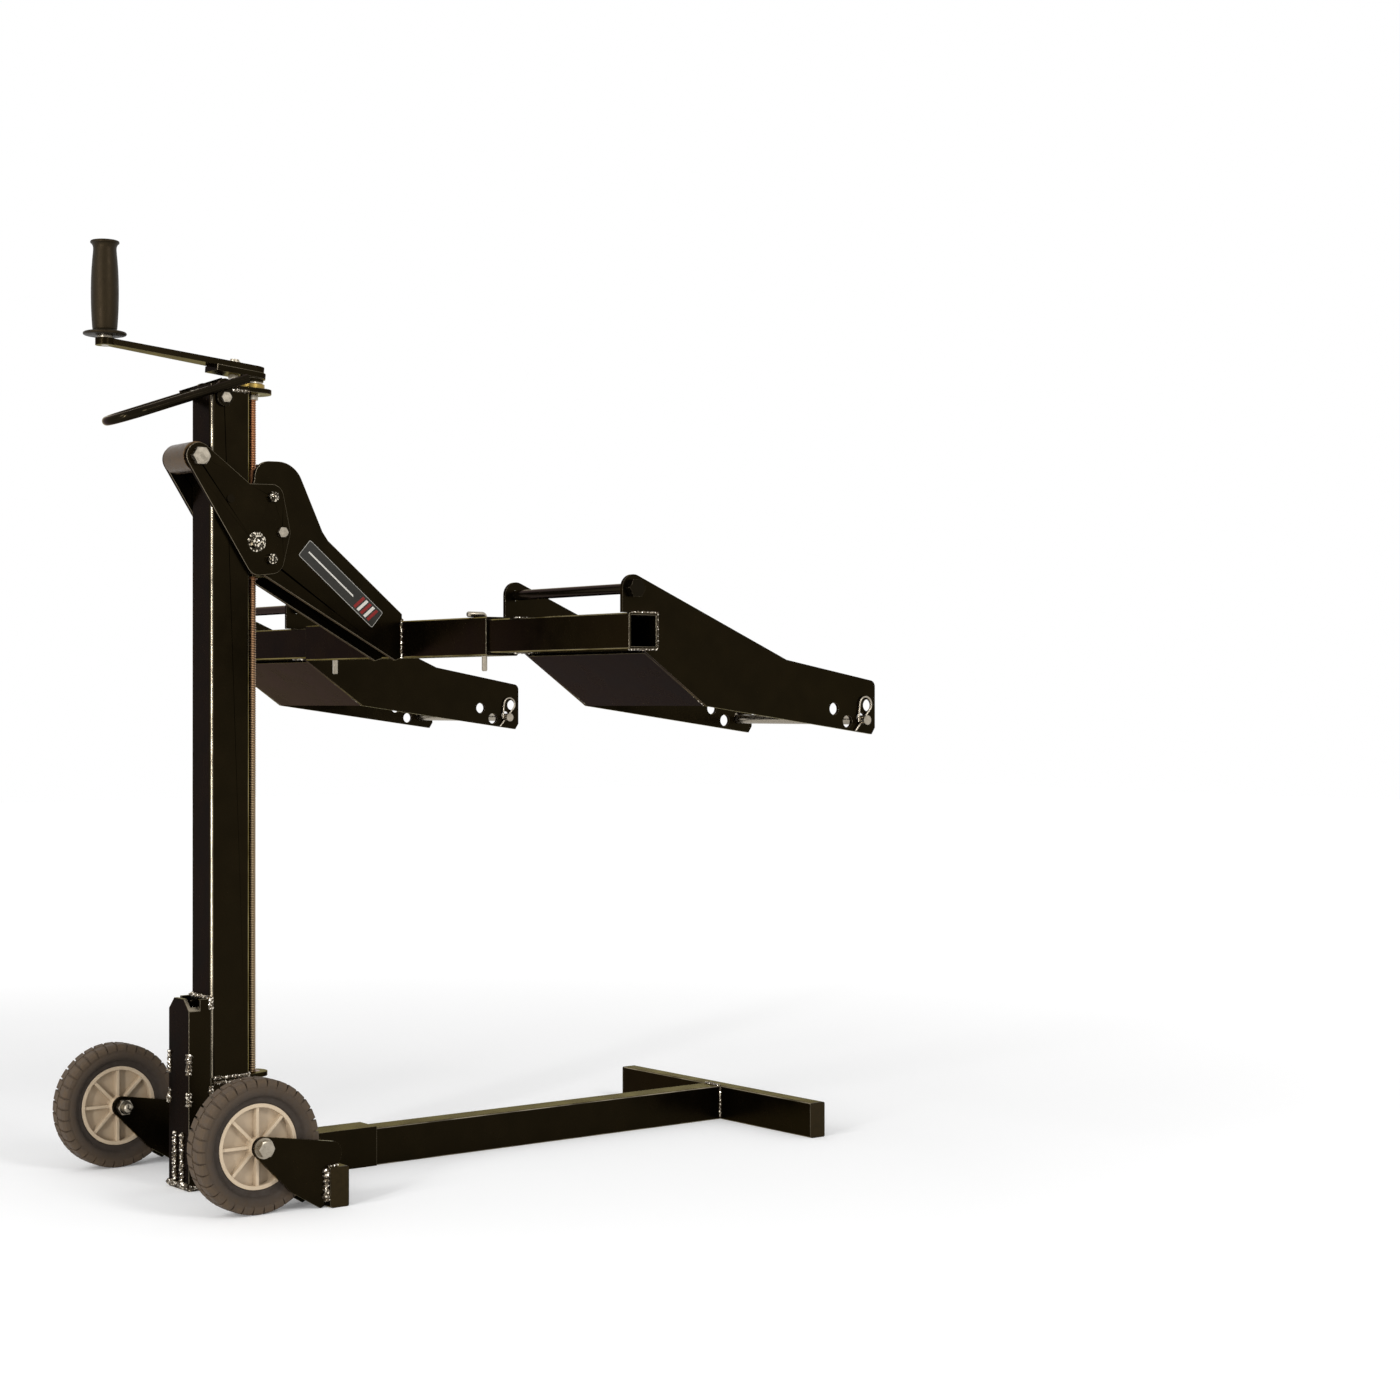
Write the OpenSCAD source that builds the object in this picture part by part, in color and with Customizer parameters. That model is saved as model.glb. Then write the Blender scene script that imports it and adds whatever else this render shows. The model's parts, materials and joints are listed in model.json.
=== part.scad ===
// Lift jack for the front of a ride-on lawn mower.
// A crank turns a lead screw beside a square post. The screw raises a carriage with an arm, a cross tube
// and two pans that hold the mower's front wheels. X points along the floor leg, towards the mower,
// Y to the left and Z up. The origin is on the floor, under the middle of the post.
// Lengths are in millimetres.

/* [Post and screw] */
// Side of the square post
post_w = 57.2; // [52:0.2:62]
// Wall of the post
post_wall = 3; // [2:0.1:4]
// Length of the post above the ledge
post_l = 899; // [860:1:980]
// Outer corner radius of the post
post_corner_r = 6; // [4:0.5:8]
// Diameter of the lead screw
screw_d = 12; // [10:0.1:14]
// Thickness of the ledge and the top plate
plate_t = 6.4; // [5:0.1:8]
// Radius of the round nose of the top plate, about the screw axis
top_nose_r = 26; // [21:0.5:28]
// Radius of the round nose of the ledge, about the screw axis
ledge_nose_r = 21; // [17:0.5:28]

/* [Base] */
// Height of the floor tubes
floor_tube_h = 50.8; // [44:0.2:60]
// Width of the crossbar and the front tee
floor_tube_w = 25.4; // [20:0.2:32]
// Wall of the floor tubes
floor_tube_wall = 2.5; // [2:0.1:4]
// Length of the crossbar under the post
crossbar_l = 462; // [440:1:520]
// Clear distance from the post to the crossbar
crossbar_gap = 4.4; // [3:0.1:12]
// Height of the ledge that the post stands on
ledge_h = 144; // [120:1:170]
// Height of the channel behind the post
column_h = 248; // [200:1:280]
// Depth of the channel behind the post
column_depth = 31.4; // [24:0.2:40]
// Thickness of the channel and the foot
channel_t = 5; // [4:0.1:7]

/* [Floor leg] */
// Width of the leg tube
leg_w = 38; // [32:0.2:44]
// Distance from the post to the tee
leg_reach = 830; // [700:1:950]
// Length of the tee
tee_l = 457; // [380:1:560]
// Reach of the saddle that holds the leg
saddle_reach = 225; // [180:1:280]
// Wall of the saddle
saddle_wall = 3; // [2.5:0.1:5]

/* [Wheels] */
// Diameter over the tyre
wheel_d = 168; // [150:1:190]
// Width of the tyre
tyre_w = 37; // [30:0.5:42]
// Diameter of the rim that the tyre sits on
rim_d = 107; // [96:1:116]
// Distance from the middle of the post to the middle of a wheel
wheel_track_half = 199; // [190:1:205]
// Distance of the axle behind the post axis
axle_back = 57; // [50:0.5:66]
// Diameter of the axle bolts
axle_d = 12; // [10:0.1:14]
// Thickness of the wheel fork plates
fork_t = 5; // [4:0.1:7]
// Ribs on each face of a wheel
wheel_ribs = 8; // [5:1:10]

/* [Crank] */
// Length of the crank from the screw to the grip
crank_l = 209; // [160:0.5:240]
// Width of the lower crank bar
crank_w = 36; // [30:0.5:40]
// Thickness of each crank bar
crank_t = 8; // [6:0.1:10]
// Tilt of the crank arm, rising towards the grip
crank_tilt = 5.2; // [2:0.1:7]
// Length of the grip
grip_l = 121; // [100:1:140]
// Diameter of the grip at its middle
grip_d = 36; // [30:0.5:40]
// Diameter of the grip's lower flange
grip_flange_d = 55; // [46:0.5:64]
// Diameter of the pin that the grip turns on
grip_pin_d = 10; // [8:0.1:12]

/* [Tipping handle] */
// Diameter of the round bar of the handle
handle_bar_d = 12; // [10:0.1:14]
// Reach of the handle behind the post axis
handle_reach = 163; // [130:1:200]
// Slope of the handle below level
handle_slope = 20; // [10:0.5:24]

/* [Carriage] */
// Distance from the top of the post down to the guide bolt, as shown
lift_drop = 198; // [170:1:760]
// Thickness of the carriage plates and the arm plates
side_t = 6; // [5:0.1:8]
// Diameter of the bolt that slides on the front of the post
guide_bolt_d = 10; // [8:0.1:12]
// Diameter of the roller behind the post
roller_d = 39.6; // [34:0.2:44]
// Height of the roller above the guide bolt
roller_rise = 108; // [95:1:125]
// Diameter of the roller bolt
roller_bolt_d = 13.5; // [11:0.1:16]
// Distance from the screw axis to the front bolts
plate_reach = 26.7; // [24:0.1:32]
// Radius of the carriage plate round the roller bolt
carriage_lobe_r = 18; // [15:0.5:22]
// Diameter of the bolts that join the arm to the carriage
arm_bolt_d = 8; // [6:0.1:10]
// Outer diameter of the lift nut
lift_nut_d = 20; // [17:0.5:22]

/* [Arm and cross tube] */
// Distance from the screw axis to the cross tube
arm_reach = 214.6; // [180:0.2:250]
// Drop from the guide bolt to the middle of the cross tube
arm_drop = 124.4; // [100:0.2:150]
// Radius of the round top of the arm
arm_hook_r = 37.5; // [32:0.5:42]
// Side of the square cross tube
lift_tube_w = 50.8; // [46:0.2:56]
// Wall of the cross tube
lift_tube_wall = 3; // [2:0.1:4]
// Length of the cross tube
lift_tube_l = 478; // [440:1:520]
// Distance from the end of the cross tube to its hitch pin
hitch_pin_inset = 42; // [30:1:60]
// Diameter of the hitch pins
hitch_pin_d = 7.6; // [6:0.1:9]

/* [Wheel pans] */
// Distance from the end of the cross tube to the inner side plate of a pan, as shown
pan_gap = 48; // [20:1:60]
// Width of a pan over its side plates
pan_w = 259; // [220:1:300]
// Reach of a pan in front of the cross tube's axis
pan_reach = 381.6; // [330:0.5:430]
// Drop of a pan's nose below the cross tube's axis
pan_drop = 128.6; // [110:0.2:140]
// Thickness of the pan's side plates and ramp
pan_t = 5; // [4:0.1:7]
// Radius of the lobe that carries the strap rod
pan_lobe_r = 17; // [14:0.5:20]
// Height of the strap rod above the cross tube's axis
rod_rise = 51.5; // [46:0.5:60]
// Diameter of the strap rod
rod_d = 13; // [10:0.1:15]
// Diameter of the wheel stop pin
stop_pin_d = 12.4; // [9:0.1:14]
// Diameter of the four holes at the nose of a pan's side plates
stop_hole_d = 15.9; // [13:0.1:17]
// Length of the pan tube inside the cross tube
pan_tube_engaged = 172; // [160:1:180]
// Length of the slot that the hitch pin stands in
slot_l = 157; // [130:1:165]

/* [Fits] */
// Gap between sliding faces of parts that move
run_gap = 0.3; // [0.2:0.05:0.6]
// Radial clearance of a shaft in its bearing
bearing_gap = 0.05; // [0.02:0.01:0.1]
// Radial clearance of a bolt or pin in a plain hole
hole_gap = 0.4; // [0.3:0.05:0.8]

/* [Hidden] */
$fn = 64;
overrun = 1;            // cuts run this far past a face
steel = "#1d1c1b";
zinc = "#b9bcbf";
bronze = "#8a5a3a";
brass = "#b08d3e";
rubber = "#2b2a28";
nylon = "#d8d4c8";

// Places that follow from the sizes above
post_half = post_w / 2;
post_top = ledge_h + post_l;
lift_h = post_top - lift_drop;
screw_r = screw_d / 2;
pass_gap = 0.5;                 // the guide bolt passes behind the screw with this gap
guide_x = post_half + run_gap + guide_bolt_d / 2;
screw_x = post_half + run_gap + guide_bolt_d + pass_gap + screw_r;
crossbar_x = post_half + crossbar_gap;
column_x = -post_half - column_depth;
leg_gap = 0.5;                  // end of the leg to the crossbar
saddle_in_w = leg_w + 2 * run_gap;
saddle_top = floor_tube_h + run_gap + saddle_wall;
axle_z = wheel_d / 2;
fork_gap = 2;                   // tyre to fork plate
fork_in = tyre_w / 2 + fork_gap;
roller_x = -post_half - run_gap - roller_d / 2;
roller_z = lift_h + roller_rise;
side_gap = 1;                   // post to carriage plate, filled by the side pads
side_in = post_half + side_gap;
side_out = side_in + side_t;
arm_in = side_in - side_t;
tube_half = lift_tube_w / 2;
tube_x = screw_x + arm_reach + tube_half;
tube_z = lift_h - arm_drop;
pan_tube_w = lift_tube_w - 2 * lift_tube_wall - 2 * run_gap;
pan_tube_half = pan_tube_w / 2;
pan_tube_out = 2;               // the pan tube stands this far out of the outer plate
pan_in = lift_tube_l / 2 + pan_gap;
pan_out = pan_in + pan_w;
pin_y = lift_tube_l / 2 - hitch_pin_inset;
rod_x = tube_x - tube_half + pan_lobe_r - pan_t;
rod_z = tube_z + rod_rise;

// Shares that place points along the sizes that they follow, as [forward, up]
arm_bolt_shares = [[0.367, -0.203], [0.978, 0.13], [0.446, 0.557]];
front_lobe_shares = [1.1, 0.7, 0.95];
heel_shares = [-0.32, -0.24];
neck_shares = [-0.8, 0.706];
hook_shares = [[0.1146, 0.571, 1], [0.0517, 0.693, 0.587]];
arm_shares = [[-0.015, -0.32], [0.95, -1.235], [1, -0.72], [0.4618, 0.0523], [0.4222, 0.1447],
    [-0.013, 0.29]];
pan_upper_share = [0.602, -0.2535];
pan_nose_share = [1, -0.45];
pan_lower_share = [0.261, -0.712];
pan_front_shares = [0.985, -1];
nose_hole_shares = [[0.814, -0.74], [0.874, -0.868], [0.937, -0.841], [0.966, -0.7045]];
pin_hole = 2;                   // the hole that the stop pin stands in, counted from 0
fork_lobe_share = 1.15;
fork_nose_share = 0.6;

// Fastener proportions, as shares of the thread diameter
nut_af_share = 1.6;
nut_h_share = 0.8;
head_h_share = 0.65;
washer_d_share = 2.2;
washer_t_share = 0.2;
bolt_tail_share = 1.5;
wide_washer_share = 2.7;
pin_head_share = 1.6;

// Shapes that repeat

module at_side(side) {
    if (side > 0) children();
    else mirror([0, 1, 0]) children();
}

// A flat shape drawn in X and Z, from y to y + t
module upright(y, t) {
    translate([0, y + t, 0]) rotate([90, 0, 0]) linear_extrude(t) children();
}

module rounded2d(w, h, r) {
    square([w - 2 * r, h], center = true);
    square([w, h - 2 * r], center = true);
    for (sx = [-1, 1], sy = [-1, 1])
        translate([sx * (w / 2 - r), sy * (h / 2 - r)]) circle(r);
}

module tube2d(w, h, wall, r) {
    difference() {
        rounded2d(w, h, r);
        square([w - 2 * wall, h - 2 * wall], center = true);
    }
}

// A corner of an outline: a place and the radius of the circle there, or a sharp corner
function corner(p, r = 0) = [p[0], p[1], r];

// The angle at which a straight side that touches two circles on its left meets both of them
function touch_angle(a, b) =
    atan2(b[1] - a[1], b[0] - a[0]) - acos((a[2] - b[2]) / norm([b[0] - a[0], b[1] - a[1]]));

// A flat outline laid like a belt round its corners, which are listed anticlockwise. The straight sides
// bite a little into the circles, so that each side meets its circle at one clear point.
belt_bite = 0.004;
module belt2d(corners) {
    last = len(corners) - 1;
    polygon([for (i = [0:last])
        let (a = corners[i], b = corners[i < last ? i + 1 : 0], t = touch_angle(a, b))
        for (c = [a, b]) [c[0], c[1]] + max(c[2] - belt_bite, 0) * [cos(t), sin(t)]]);
    for (c = corners) if (c[2] > 0) translate([c[0], c[1]]) circle(c[2]);
}

module bar_y(x, z, d, y0, y1) {
    translate([x, y1, z]) rotate([90, 0, 0]) cylinder(d = d, h = y1 - y0);
}

module hex(d, h) {
    cylinder(d = d * nut_af_share / cos(30), h = h, $fn = 6);
}

// A nut or head of thread d with its face on the XY plane, standing up
module nut(d, h_share = nut_h_share) {
    hex(d, d * h_share);
}

module washer(d) {
    difference() {
        cylinder(d = d * washer_d_share, h = d * washer_t_share);
        translate([0, 0, -overrun]) cylinder(d = d + 2 * hole_gap, h = d * washer_t_share + 2 * overrun);
    }
}

// Turns what stands along +Z to point along +Y or -Y at a place
module facing_y(x, y, z, side) {
    translate([x, y, z]) rotate([-90 * side, 0, 0]) children();
}

// Base

module base_crossbar() {
    color(steel)
    translate([crossbar_x + floor_tube_w / 2, crossbar_l / 2, floor_tube_h / 2])
        rotate([90, 0, 0]) linear_extrude(crossbar_l)
            tube2d(floor_tube_w, floor_tube_h, floor_tube_wall, floor_tube_wall);
}

module tube_caps(x, half_l) {
    color(steel)
    for (side = [-1, 1])
        at_side(side)
            translate([x, half_l + floor_tube_wall, floor_tube_h / 2])
                rotate([90, 0, 0]) linear_extrude(floor_tube_wall)
                    rounded2d(floor_tube_w, floor_tube_h, floor_tube_wall);
}

module crossbar_caps() {
    tube_caps(crossbar_x + floor_tube_w / 2, crossbar_l / 2);
}

// A channel with its open side against the post and its top rear corners cut off
module base_column() {
    chamfer = column_depth / 3;
    color(steel)
    difference() {
        translate([column_x, -post_half, 0]) cube([column_depth, post_w, column_h]);
        translate([column_x + channel_t, -post_half + channel_t, -overrun])
            cube([column_depth, post_w - 2 * channel_t, column_h + 2 * overrun]);
        for (side = [-1, 1])
            translate([column_x, side * post_half, column_h])
                rotate([45, 0, 0])
                    translate([-overrun, -chamfer, -chamfer])
                        cube([column_depth / 2 + overrun, 2 * chamfer, 2 * chamfer]);
    }
}

// A folded channel that ties the column to the crossbar and carries the ledge
module base_foot() {
    foot_l = post_half + crossbar_x;
    color(steel)
    translate([-post_half, -post_half, 0])
    difference() {
        cube([foot_l, post_w, ledge_h - plate_t]);
        translate([-overrun, channel_t, channel_t])
            cube([foot_l + 2 * overrun, post_w - 2 * channel_t, ledge_h]);
    }
}

// A plate as wide as the post that narrows to a round nose about the screw
module nose2d(nose_r) {
    belt2d([corner([-post_half, -post_half]), corner([post_half, -post_half]), corner([screw_x, 0], nose_r),
        corner([post_half, post_half]), corner([-post_half, post_half])]);
}

module ledge_plate() {
    color(steel)
    difference() {
        translate([0, 0, ledge_h - plate_t]) linear_extrude(plate_t) nose2d(ledge_nose_r);
        translate([screw_x, 0, ledge_h - plate_t - overrun])
            cylinder(d = screw_d + 2 * channel_t, h = plate_t + 2 * overrun);
    }
}

// An inverted channel on the front of the crossbar; the leg slides inside it
module leg_saddle() {
    start = crossbar_x + floor_tube_w;
    bolt_x = start + (saddle_reach - start) / 2;
    color(steel)
    difference() {
        translate([start, -saddle_in_w / 2 - saddle_wall, 0])
            cube([saddle_reach - start, saddle_in_w + 2 * saddle_wall, saddle_top]);
        translate([start - overrun, -saddle_in_w / 2, -overrun])
            cube([saddle_reach - start + 2 * overrun, saddle_in_w, saddle_top - saddle_wall + overrun]);
        bar_y(bolt_x, floor_tube_h / 2, grip_pin_d + 2 * hole_gap, 0, leg_w);
    }
}

// A hex bolt in a nut on the left side of the saddle presses on the leg
module leg_clamp_bolt() {
    start = crossbar_x + floor_tube_w;
    bolt_x = start + (saddle_reach - start) / 2;
    wall_y = saddle_in_w / 2 + saddle_wall;
    nut_h = grip_pin_d * nut_h_share;
    color(zinc) {
        facing_y(bolt_x, wall_y, floor_tube_h / 2, 1) nut(grip_pin_d);
        bar_y(bolt_x, floor_tube_h / 2, grip_pin_d, saddle_in_w / 2, wall_y + nut_h + grip_pin_d);
        facing_y(bolt_x, wall_y + nut_h + grip_pin_d, floor_tube_h / 2, 1)
            nut(grip_pin_d, head_h_share);
    }
}

module post_tube() {
    color(steel)
    difference() {
        translate([0, 0, ledge_h]) linear_extrude(post_l) tube2d(post_w, post_w, post_wall, post_corner_r);
        bar_y(handle_bolt_x, post_top - handle_bolt_drop, handle_bolt_d + 2 * hole_gap, -post_w, post_w);
    }
}

module top_plate() {
    color(steel)
    difference() {
        translate([0, 0, post_top]) linear_extrude(plate_t) nose2d(top_nose_r);
        translate([screw_x, 0, post_top - overrun])
            cylinder(d = screw_d + 2 * channel_t, h = plate_t + 2 * overrun);
    }
}

// A flanged bush: the flange lies on the plate, the barrel fills the plate's hole
module flanged_bush(flange_d, flange_h) {
    difference() {
        union() {
            cylinder(d = flange_d, h = flange_h);
            translate([0, 0, -plate_t]) cylinder(d = screw_d + 2 * channel_t, h = plate_t + overrun);
        }
        translate([0, 0, -plate_t - overrun])
            cylinder(d = screw_d + 2 * bearing_gap, h = plate_t + flange_h + 2 * overrun);
    }
}

thrust_flange_d = 34;
thrust_flange_h = 7;
foot_flange_d = 26;
foot_flange_h = 4;

module thrust_bearing() {
    color(brass)
    translate([screw_x, 0, post_top + plate_t]) flanged_bush(thrust_flange_d, thrust_flange_h);
}

// The lower bush is pushed up into the ledge, so its flange lies under the ledge
module foot_bearing() {
    color(bronze)
    translate([screw_x, 0, ledge_h - plate_t]) rotate([180, 0, 0])
        flanged_bush(foot_flange_d, foot_flange_h);
}

// The tipping handle: a round bar bent to a U, with an ear on each leg that is bolted to the post
ear_t = 5;
ear_r = 11;
handle_bolt_d = 8;
handle_bolt_x = -10.6;
handle_bolt_drop = 11;          // below the top of the post
handle_y = post_half + run_gap + handle_bar_d / 2;
handle_root_x = 10;
handle_root_rise = 12;          // above the top of the post
handle_stop_l = 64;             // a flat bar welded along the left leg
handle_stop_h = 8.6;

module handle_loop() {
    bend_r = handle_y;
    straight = (handle_reach + handle_root_x) / cos(handle_slope) - bend_r - handle_bar_d / 2;
    color(steel)
    union() {
        translate([handle_root_x, 0, post_top + handle_root_rise])
            rotate([0, -handle_slope, 0]) {
                for (side = [-1, 1])
                    translate([-straight, side * handle_y, 0]) rotate([0, 90, 0])
                        cylinder(d = handle_bar_d, h = straight + handle_bar_d);
                translate([-straight, 0, 0]) rotate([0, 0, 90])
                    rotate_extrude(angle = 180) translate([bend_r, 0]) circle(d = handle_bar_d);
                translate([handle_bar_d - handle_stop_l, handle_y - ear_t / 2, 0])
                    cube([handle_stop_l, ear_t, handle_stop_h]);
            }
        for (side = [-1, 1])
            at_side(side) upright(post_half, ear_t)
                difference() {
                    belt2d([corner([handle_bolt_x, post_top - handle_bolt_drop], ear_r),
                        corner([handle_bolt_x, post_top + handle_root_rise / 3], ear_r - overrun)]);
                    translate([handle_bolt_x, post_top - handle_bolt_drop])
                        circle(d = handle_bolt_d + 2 * hole_gap);
                }
    }
}

module handle_bolt() {
    face = post_half + ear_t;
    z = post_top - handle_bolt_drop;
    color(zinc) {
        bar_y(handle_bolt_x, z, handle_bolt_d, -face, face);
        facing_y(handle_bolt_x, -face, z, -1) nut(handle_bolt_d, head_h_share);
        facing_y(handle_bolt_x, face, z, 1) nut(handle_bolt_d);
    }
}

// Wheels and their forks

module fork2d() {
    nose_r = floor_tube_w * fork_nose_share;
    nose = [crossbar_x + channel_t, floor_tube_h + nose_r + overrun];
    axle = [-axle_back, axle_z];
    difference() {
        belt2d([corner(axle, axle_d * fork_lobe_share), corner([-axle_back / 3, floor_tube_h / 2]),
            corner([crossbar_x - 2 * channel_t, 0]), corner([crossbar_x, channel_t]),
            corner([crossbar_x, floor_tube_h]), corner([nose[0] + nose_r * fork_nose_share, floor_tube_h]),
            corner(nose, nose_r)]);
        translate(axle) circle(d = axle_d + 2 * hole_gap);
    }
}

module wheel_fork(side) {
    color(steel)
    at_side(side)
        for (y = [wheel_track_half - fork_in - fork_t, wheel_track_half + fork_in])
            upright(y, fork_t) fork2d();
}

module left_wheel_fork() { wheel_fork(1); }
module right_wheel_fork() { wheel_fork(-1); }

module axle_bolts() {
    inner = wheel_track_half - fork_in - fork_t;
    outer = wheel_track_half + fork_in + fork_t;
    washer_t = axle_d * washer_t_share;
    color(zinc)
    for (side = [-1, 1])
        at_side(side) {
            bar_y(-axle_back, axle_z, axle_d, inner - bolt_tail_share * axle_d, outer + washer_t);
            facing_y(-axle_back, outer + washer_t, axle_z, 1) nut(axle_d, head_h_share);
            facing_y(-axle_back, outer, axle_z, 1) washer(axle_d);
        }
}

module axle_nuts() {
    inner = wheel_track_half - fork_in - fork_t;
    color(zinc)
    for (side = [-1, 1])
        at_side(side)
            facing_y(-axle_back, inner, axle_z, -1)
                difference() {
                    nut(axle_d);
                    translate([0, 0, -overrun]) cylinder(d = axle_d, h = 2 * axle_d);
                }
}

module wheel_frame(side) {
    translate([-axle_back, side * wheel_track_half, axle_z]) rotate([90, 0, 0]) children();
}

// The tyre has a rounded tread with a shoulder on each side
module tyre(side) {
    outer_r = wheel_d / 2;
    rim_r = rim_d / 2;
    half = tyre_w / 2;
    crown = 3;
    shoulder = tyre_w / 6;
    color(rubber)
    wheel_frame(side)
        rotate_extrude()
            polygon([[rim_r, -half + shoulder], [rim_r + shoulder, -half + overrun],
                [outer_r - 2 * shoulder, -half], [outer_r - crown, -half + shoulder / 2],
                [outer_r, -half + 2 * shoulder], [outer_r, half - 2 * shoulder],
                [outer_r - crown, half - shoulder / 2], [outer_r - 2 * shoulder, half],
                [rim_r + shoulder, half - overrun], [rim_r, half - shoulder]]);
}

module left_tyre() { tyre(1); }
module right_tyre() { tyre(-1); }

// A moulded hub: a barrel on the axle, a thin web, ribs on both faces and a rim
module hub(side) {
    rim_r = rim_d / 2;
    rim_t = 5;
    half = tyre_w / 2 - tyre_w / 6;
    barrel_r = axle_d;
    rib_t = 4;
    web_t = 4;
    color(nylon)
    wheel_frame(side)
        difference() {
            union() {
                difference() {
                    translate([0, 0, -half]) cylinder(r = rim_r, h = 2 * half);
                    translate([0, 0, -half - overrun])
                        cylinder(r = rim_r - rim_t, h = 2 * (half + overrun));
                }
                translate([0, 0, -web_t / 2]) cylinder(r = rim_r - rim_t / 2, h = web_t);
                translate([0, 0, -tyre_w / 2]) cylinder(r = barrel_r, h = tyre_w);
                for (i = [0:wheel_ribs - 1])
                    rotate([0, 0, i * 360 / wheel_ribs])
                        translate([barrel_r / 2, -rib_t / 2, -half + rib_t / 2])
                            cube([rim_r - rim_t / 2 - barrel_r / 2, rib_t, 2 * half - rib_t]);
            }
            translate([0, 0, -tyre_w]) cylinder(r = axle_d / 2 + bearing_gap, h = 2 * tyre_w);
        }
}

module left_hub() { hub(1); }
module right_hub() { hub(-1); }

// Floor leg

module leg_tube() {
    start = crossbar_x + floor_tube_w + leg_gap;
    color(steel)
    translate([start, 0, floor_tube_h / 2])
        rotate([90, 0, 90]) linear_extrude(leg_reach - start)
            tube2d(leg_w, floor_tube_h, floor_tube_wall, floor_tube_wall);
}

module front_tee() {
    color(steel)
    translate([leg_reach + floor_tube_w / 2, tee_l / 2, floor_tube_h / 2])
        rotate([90, 0, 0]) linear_extrude(tee_l)
            tube2d(floor_tube_w, floor_tube_h, floor_tube_wall, floor_tube_wall);
}

module tee_caps() {
    tube_caps(leg_reach + floor_tube_w / 2, tee_l / 2);
}

// Screw and crank

stack_z = post_top + plate_t + thrust_flange_h + run_gap;   // underside of the turning parts
washer_h = 2.5;
boss_h = 5;
crank_z = stack_z + washer_h + boss_h;
screw_tail = 14;                // length below the ledge plate

module lead_screw() {
    bottom = ledge_h - plate_t - screw_tail;
    color(bronze)
    translate([screw_x, 0, bottom]) cylinder(d = screw_d, h = crank_z + crank_t - bottom);
}

// The thrust washer on top, the collar under the top plate and the nut under the ledge
module screw_nuts() {
    collar_h = 7;
    nut_h = screw_d * head_h_share;
    color(zinc)
    difference() {
        union() {
            translate([screw_x, 0, stack_z]) cylinder(d = thrust_flange_d - channel_t, h = washer_h);
            translate([screw_x, 0, post_top - run_gap - collar_h])
                cylinder(d = screw_d + channel_t, h = collar_h);
            translate([screw_x, 0, ledge_h - plate_t - foot_flange_h - run_gap - nut_h])
                nut(screw_d, head_h_share);
        }
        translate([screw_x, 0, 0]) cylinder(d = screw_d, h = 2 * post_top);
    }
}

// The crank bars lie in a frame that is tilted about the screw axis
module crank_frame() {
    translate([screw_x, 0, crank_z]) rotate([0, crank_tilt, 0]) children();
}

hub_tail = 60;                  // length of the lower bar behind the screw
crank_bolt_back = 27;           // place of the bolt behind the screw
arm_root_share = 0.86;          // widths of the arm at the screw and at the grip
arm_end_share = 0.5;
grip_pad_share = 0.67;

// A bar with a round end at the screw and a square end behind it
module crank_bar2d(length, root_w, end_w) {
    belt2d([corner([0, 0], root_w / 2), corner([-length, end_w / 2]), corner([-length, -end_w / 2])]);
}

module crank_hub() {
    color(steel)
    difference() {
        union() {
            crank_frame() linear_extrude(crank_t) crank_bar2d(hub_tail, crank_w, crank_w);
            translate([screw_x, 0, stack_z + washer_h])
                cylinder(d = crank_w * arm_root_share, h = boss_h + crank_t / 3);
        }
        translate([screw_x, 0, post_top]) cylinder(d = screw_d, h = 2 * post_top);
        crank_frame() translate([-crank_bolt_back, 0, -overrun])
            cylinder(d = arm_bolt_d + 2 * hole_gap, h = crank_t + 2 * overrun);
    }
}

grip_x = screw_x - crank_l;
grip_pad_z = crank_z + crank_l * sin(crank_tilt) + crank_t * cos(crank_tilt);

module crank_arm() {
    pad_d = crank_w * grip_pad_share;
    color(steel)
    difference() {
        union() {
            crank_frame() translate([0, 0, crank_t]) linear_extrude(crank_t)
                crank_bar2d(crank_l, crank_w * arm_root_share, crank_w * arm_end_share);
            translate([grip_x, 0, grip_pad_z - overrun]) cylinder(d = pad_d, h = crank_t + overrun);
        }
        translate([screw_x, 0, post_top]) cylinder(d = screw_d, h = crank_z + crank_t - post_top);
        crank_frame() translate([-crank_bolt_back, 0, 0])
            cylinder(d = arm_bolt_d + 2 * hole_gap, h = 3 * crank_t);
        translate([grip_x, 0, grip_pad_z - 2 * overrun])
            cylinder(d = grip_pin_d, h = crank_t + 4 * overrun);
    }
}

module crank_bolt() {
    head_h = arm_bolt_d * head_h_share;
    color(zinc)
    crank_frame() translate([-crank_bolt_back, 0, 0]) {
        translate([0, 0, -head_h]) nut(arm_bolt_d, head_h_share);
        cylinder(d = arm_bolt_d, h = 2 * crank_t);
        translate([0, 0, 2 * crank_t]) cylinder(d = 2 * arm_bolt_d, h = head_h / 2);
        translate([0, 0, 2 * crank_t]) cylinder(d = 1.5 * arm_bolt_d, h = head_h);
    }
}

// The grip turns on a shouldered pin that is screwed into the end of the arm
grip_washer_h = 3;
grip_pin_z = grip_pad_z + crank_t;              // top face of the arm's pad

module grip_pin() {
    head_h = grip_pin_d * head_h_share;
    color(zinc)
    translate([grip_x, 0, 0]) {
        translate([0, 0, grip_pad_z - overrun])
            cylinder(d = grip_pin_d, h = crank_t + overrun + grip_washer_h + grip_l - 2 * head_h);
        translate([0, 0, grip_pin_z]) cylinder(d = 2 * grip_pin_d, h = grip_washer_h);
        translate([0, 0, grip_pin_z + grip_washer_h + grip_l - 2 * head_h - run_gap])
            cylinder(d = pin_head_share * grip_pin_d, h = head_h);
    }
}

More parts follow.
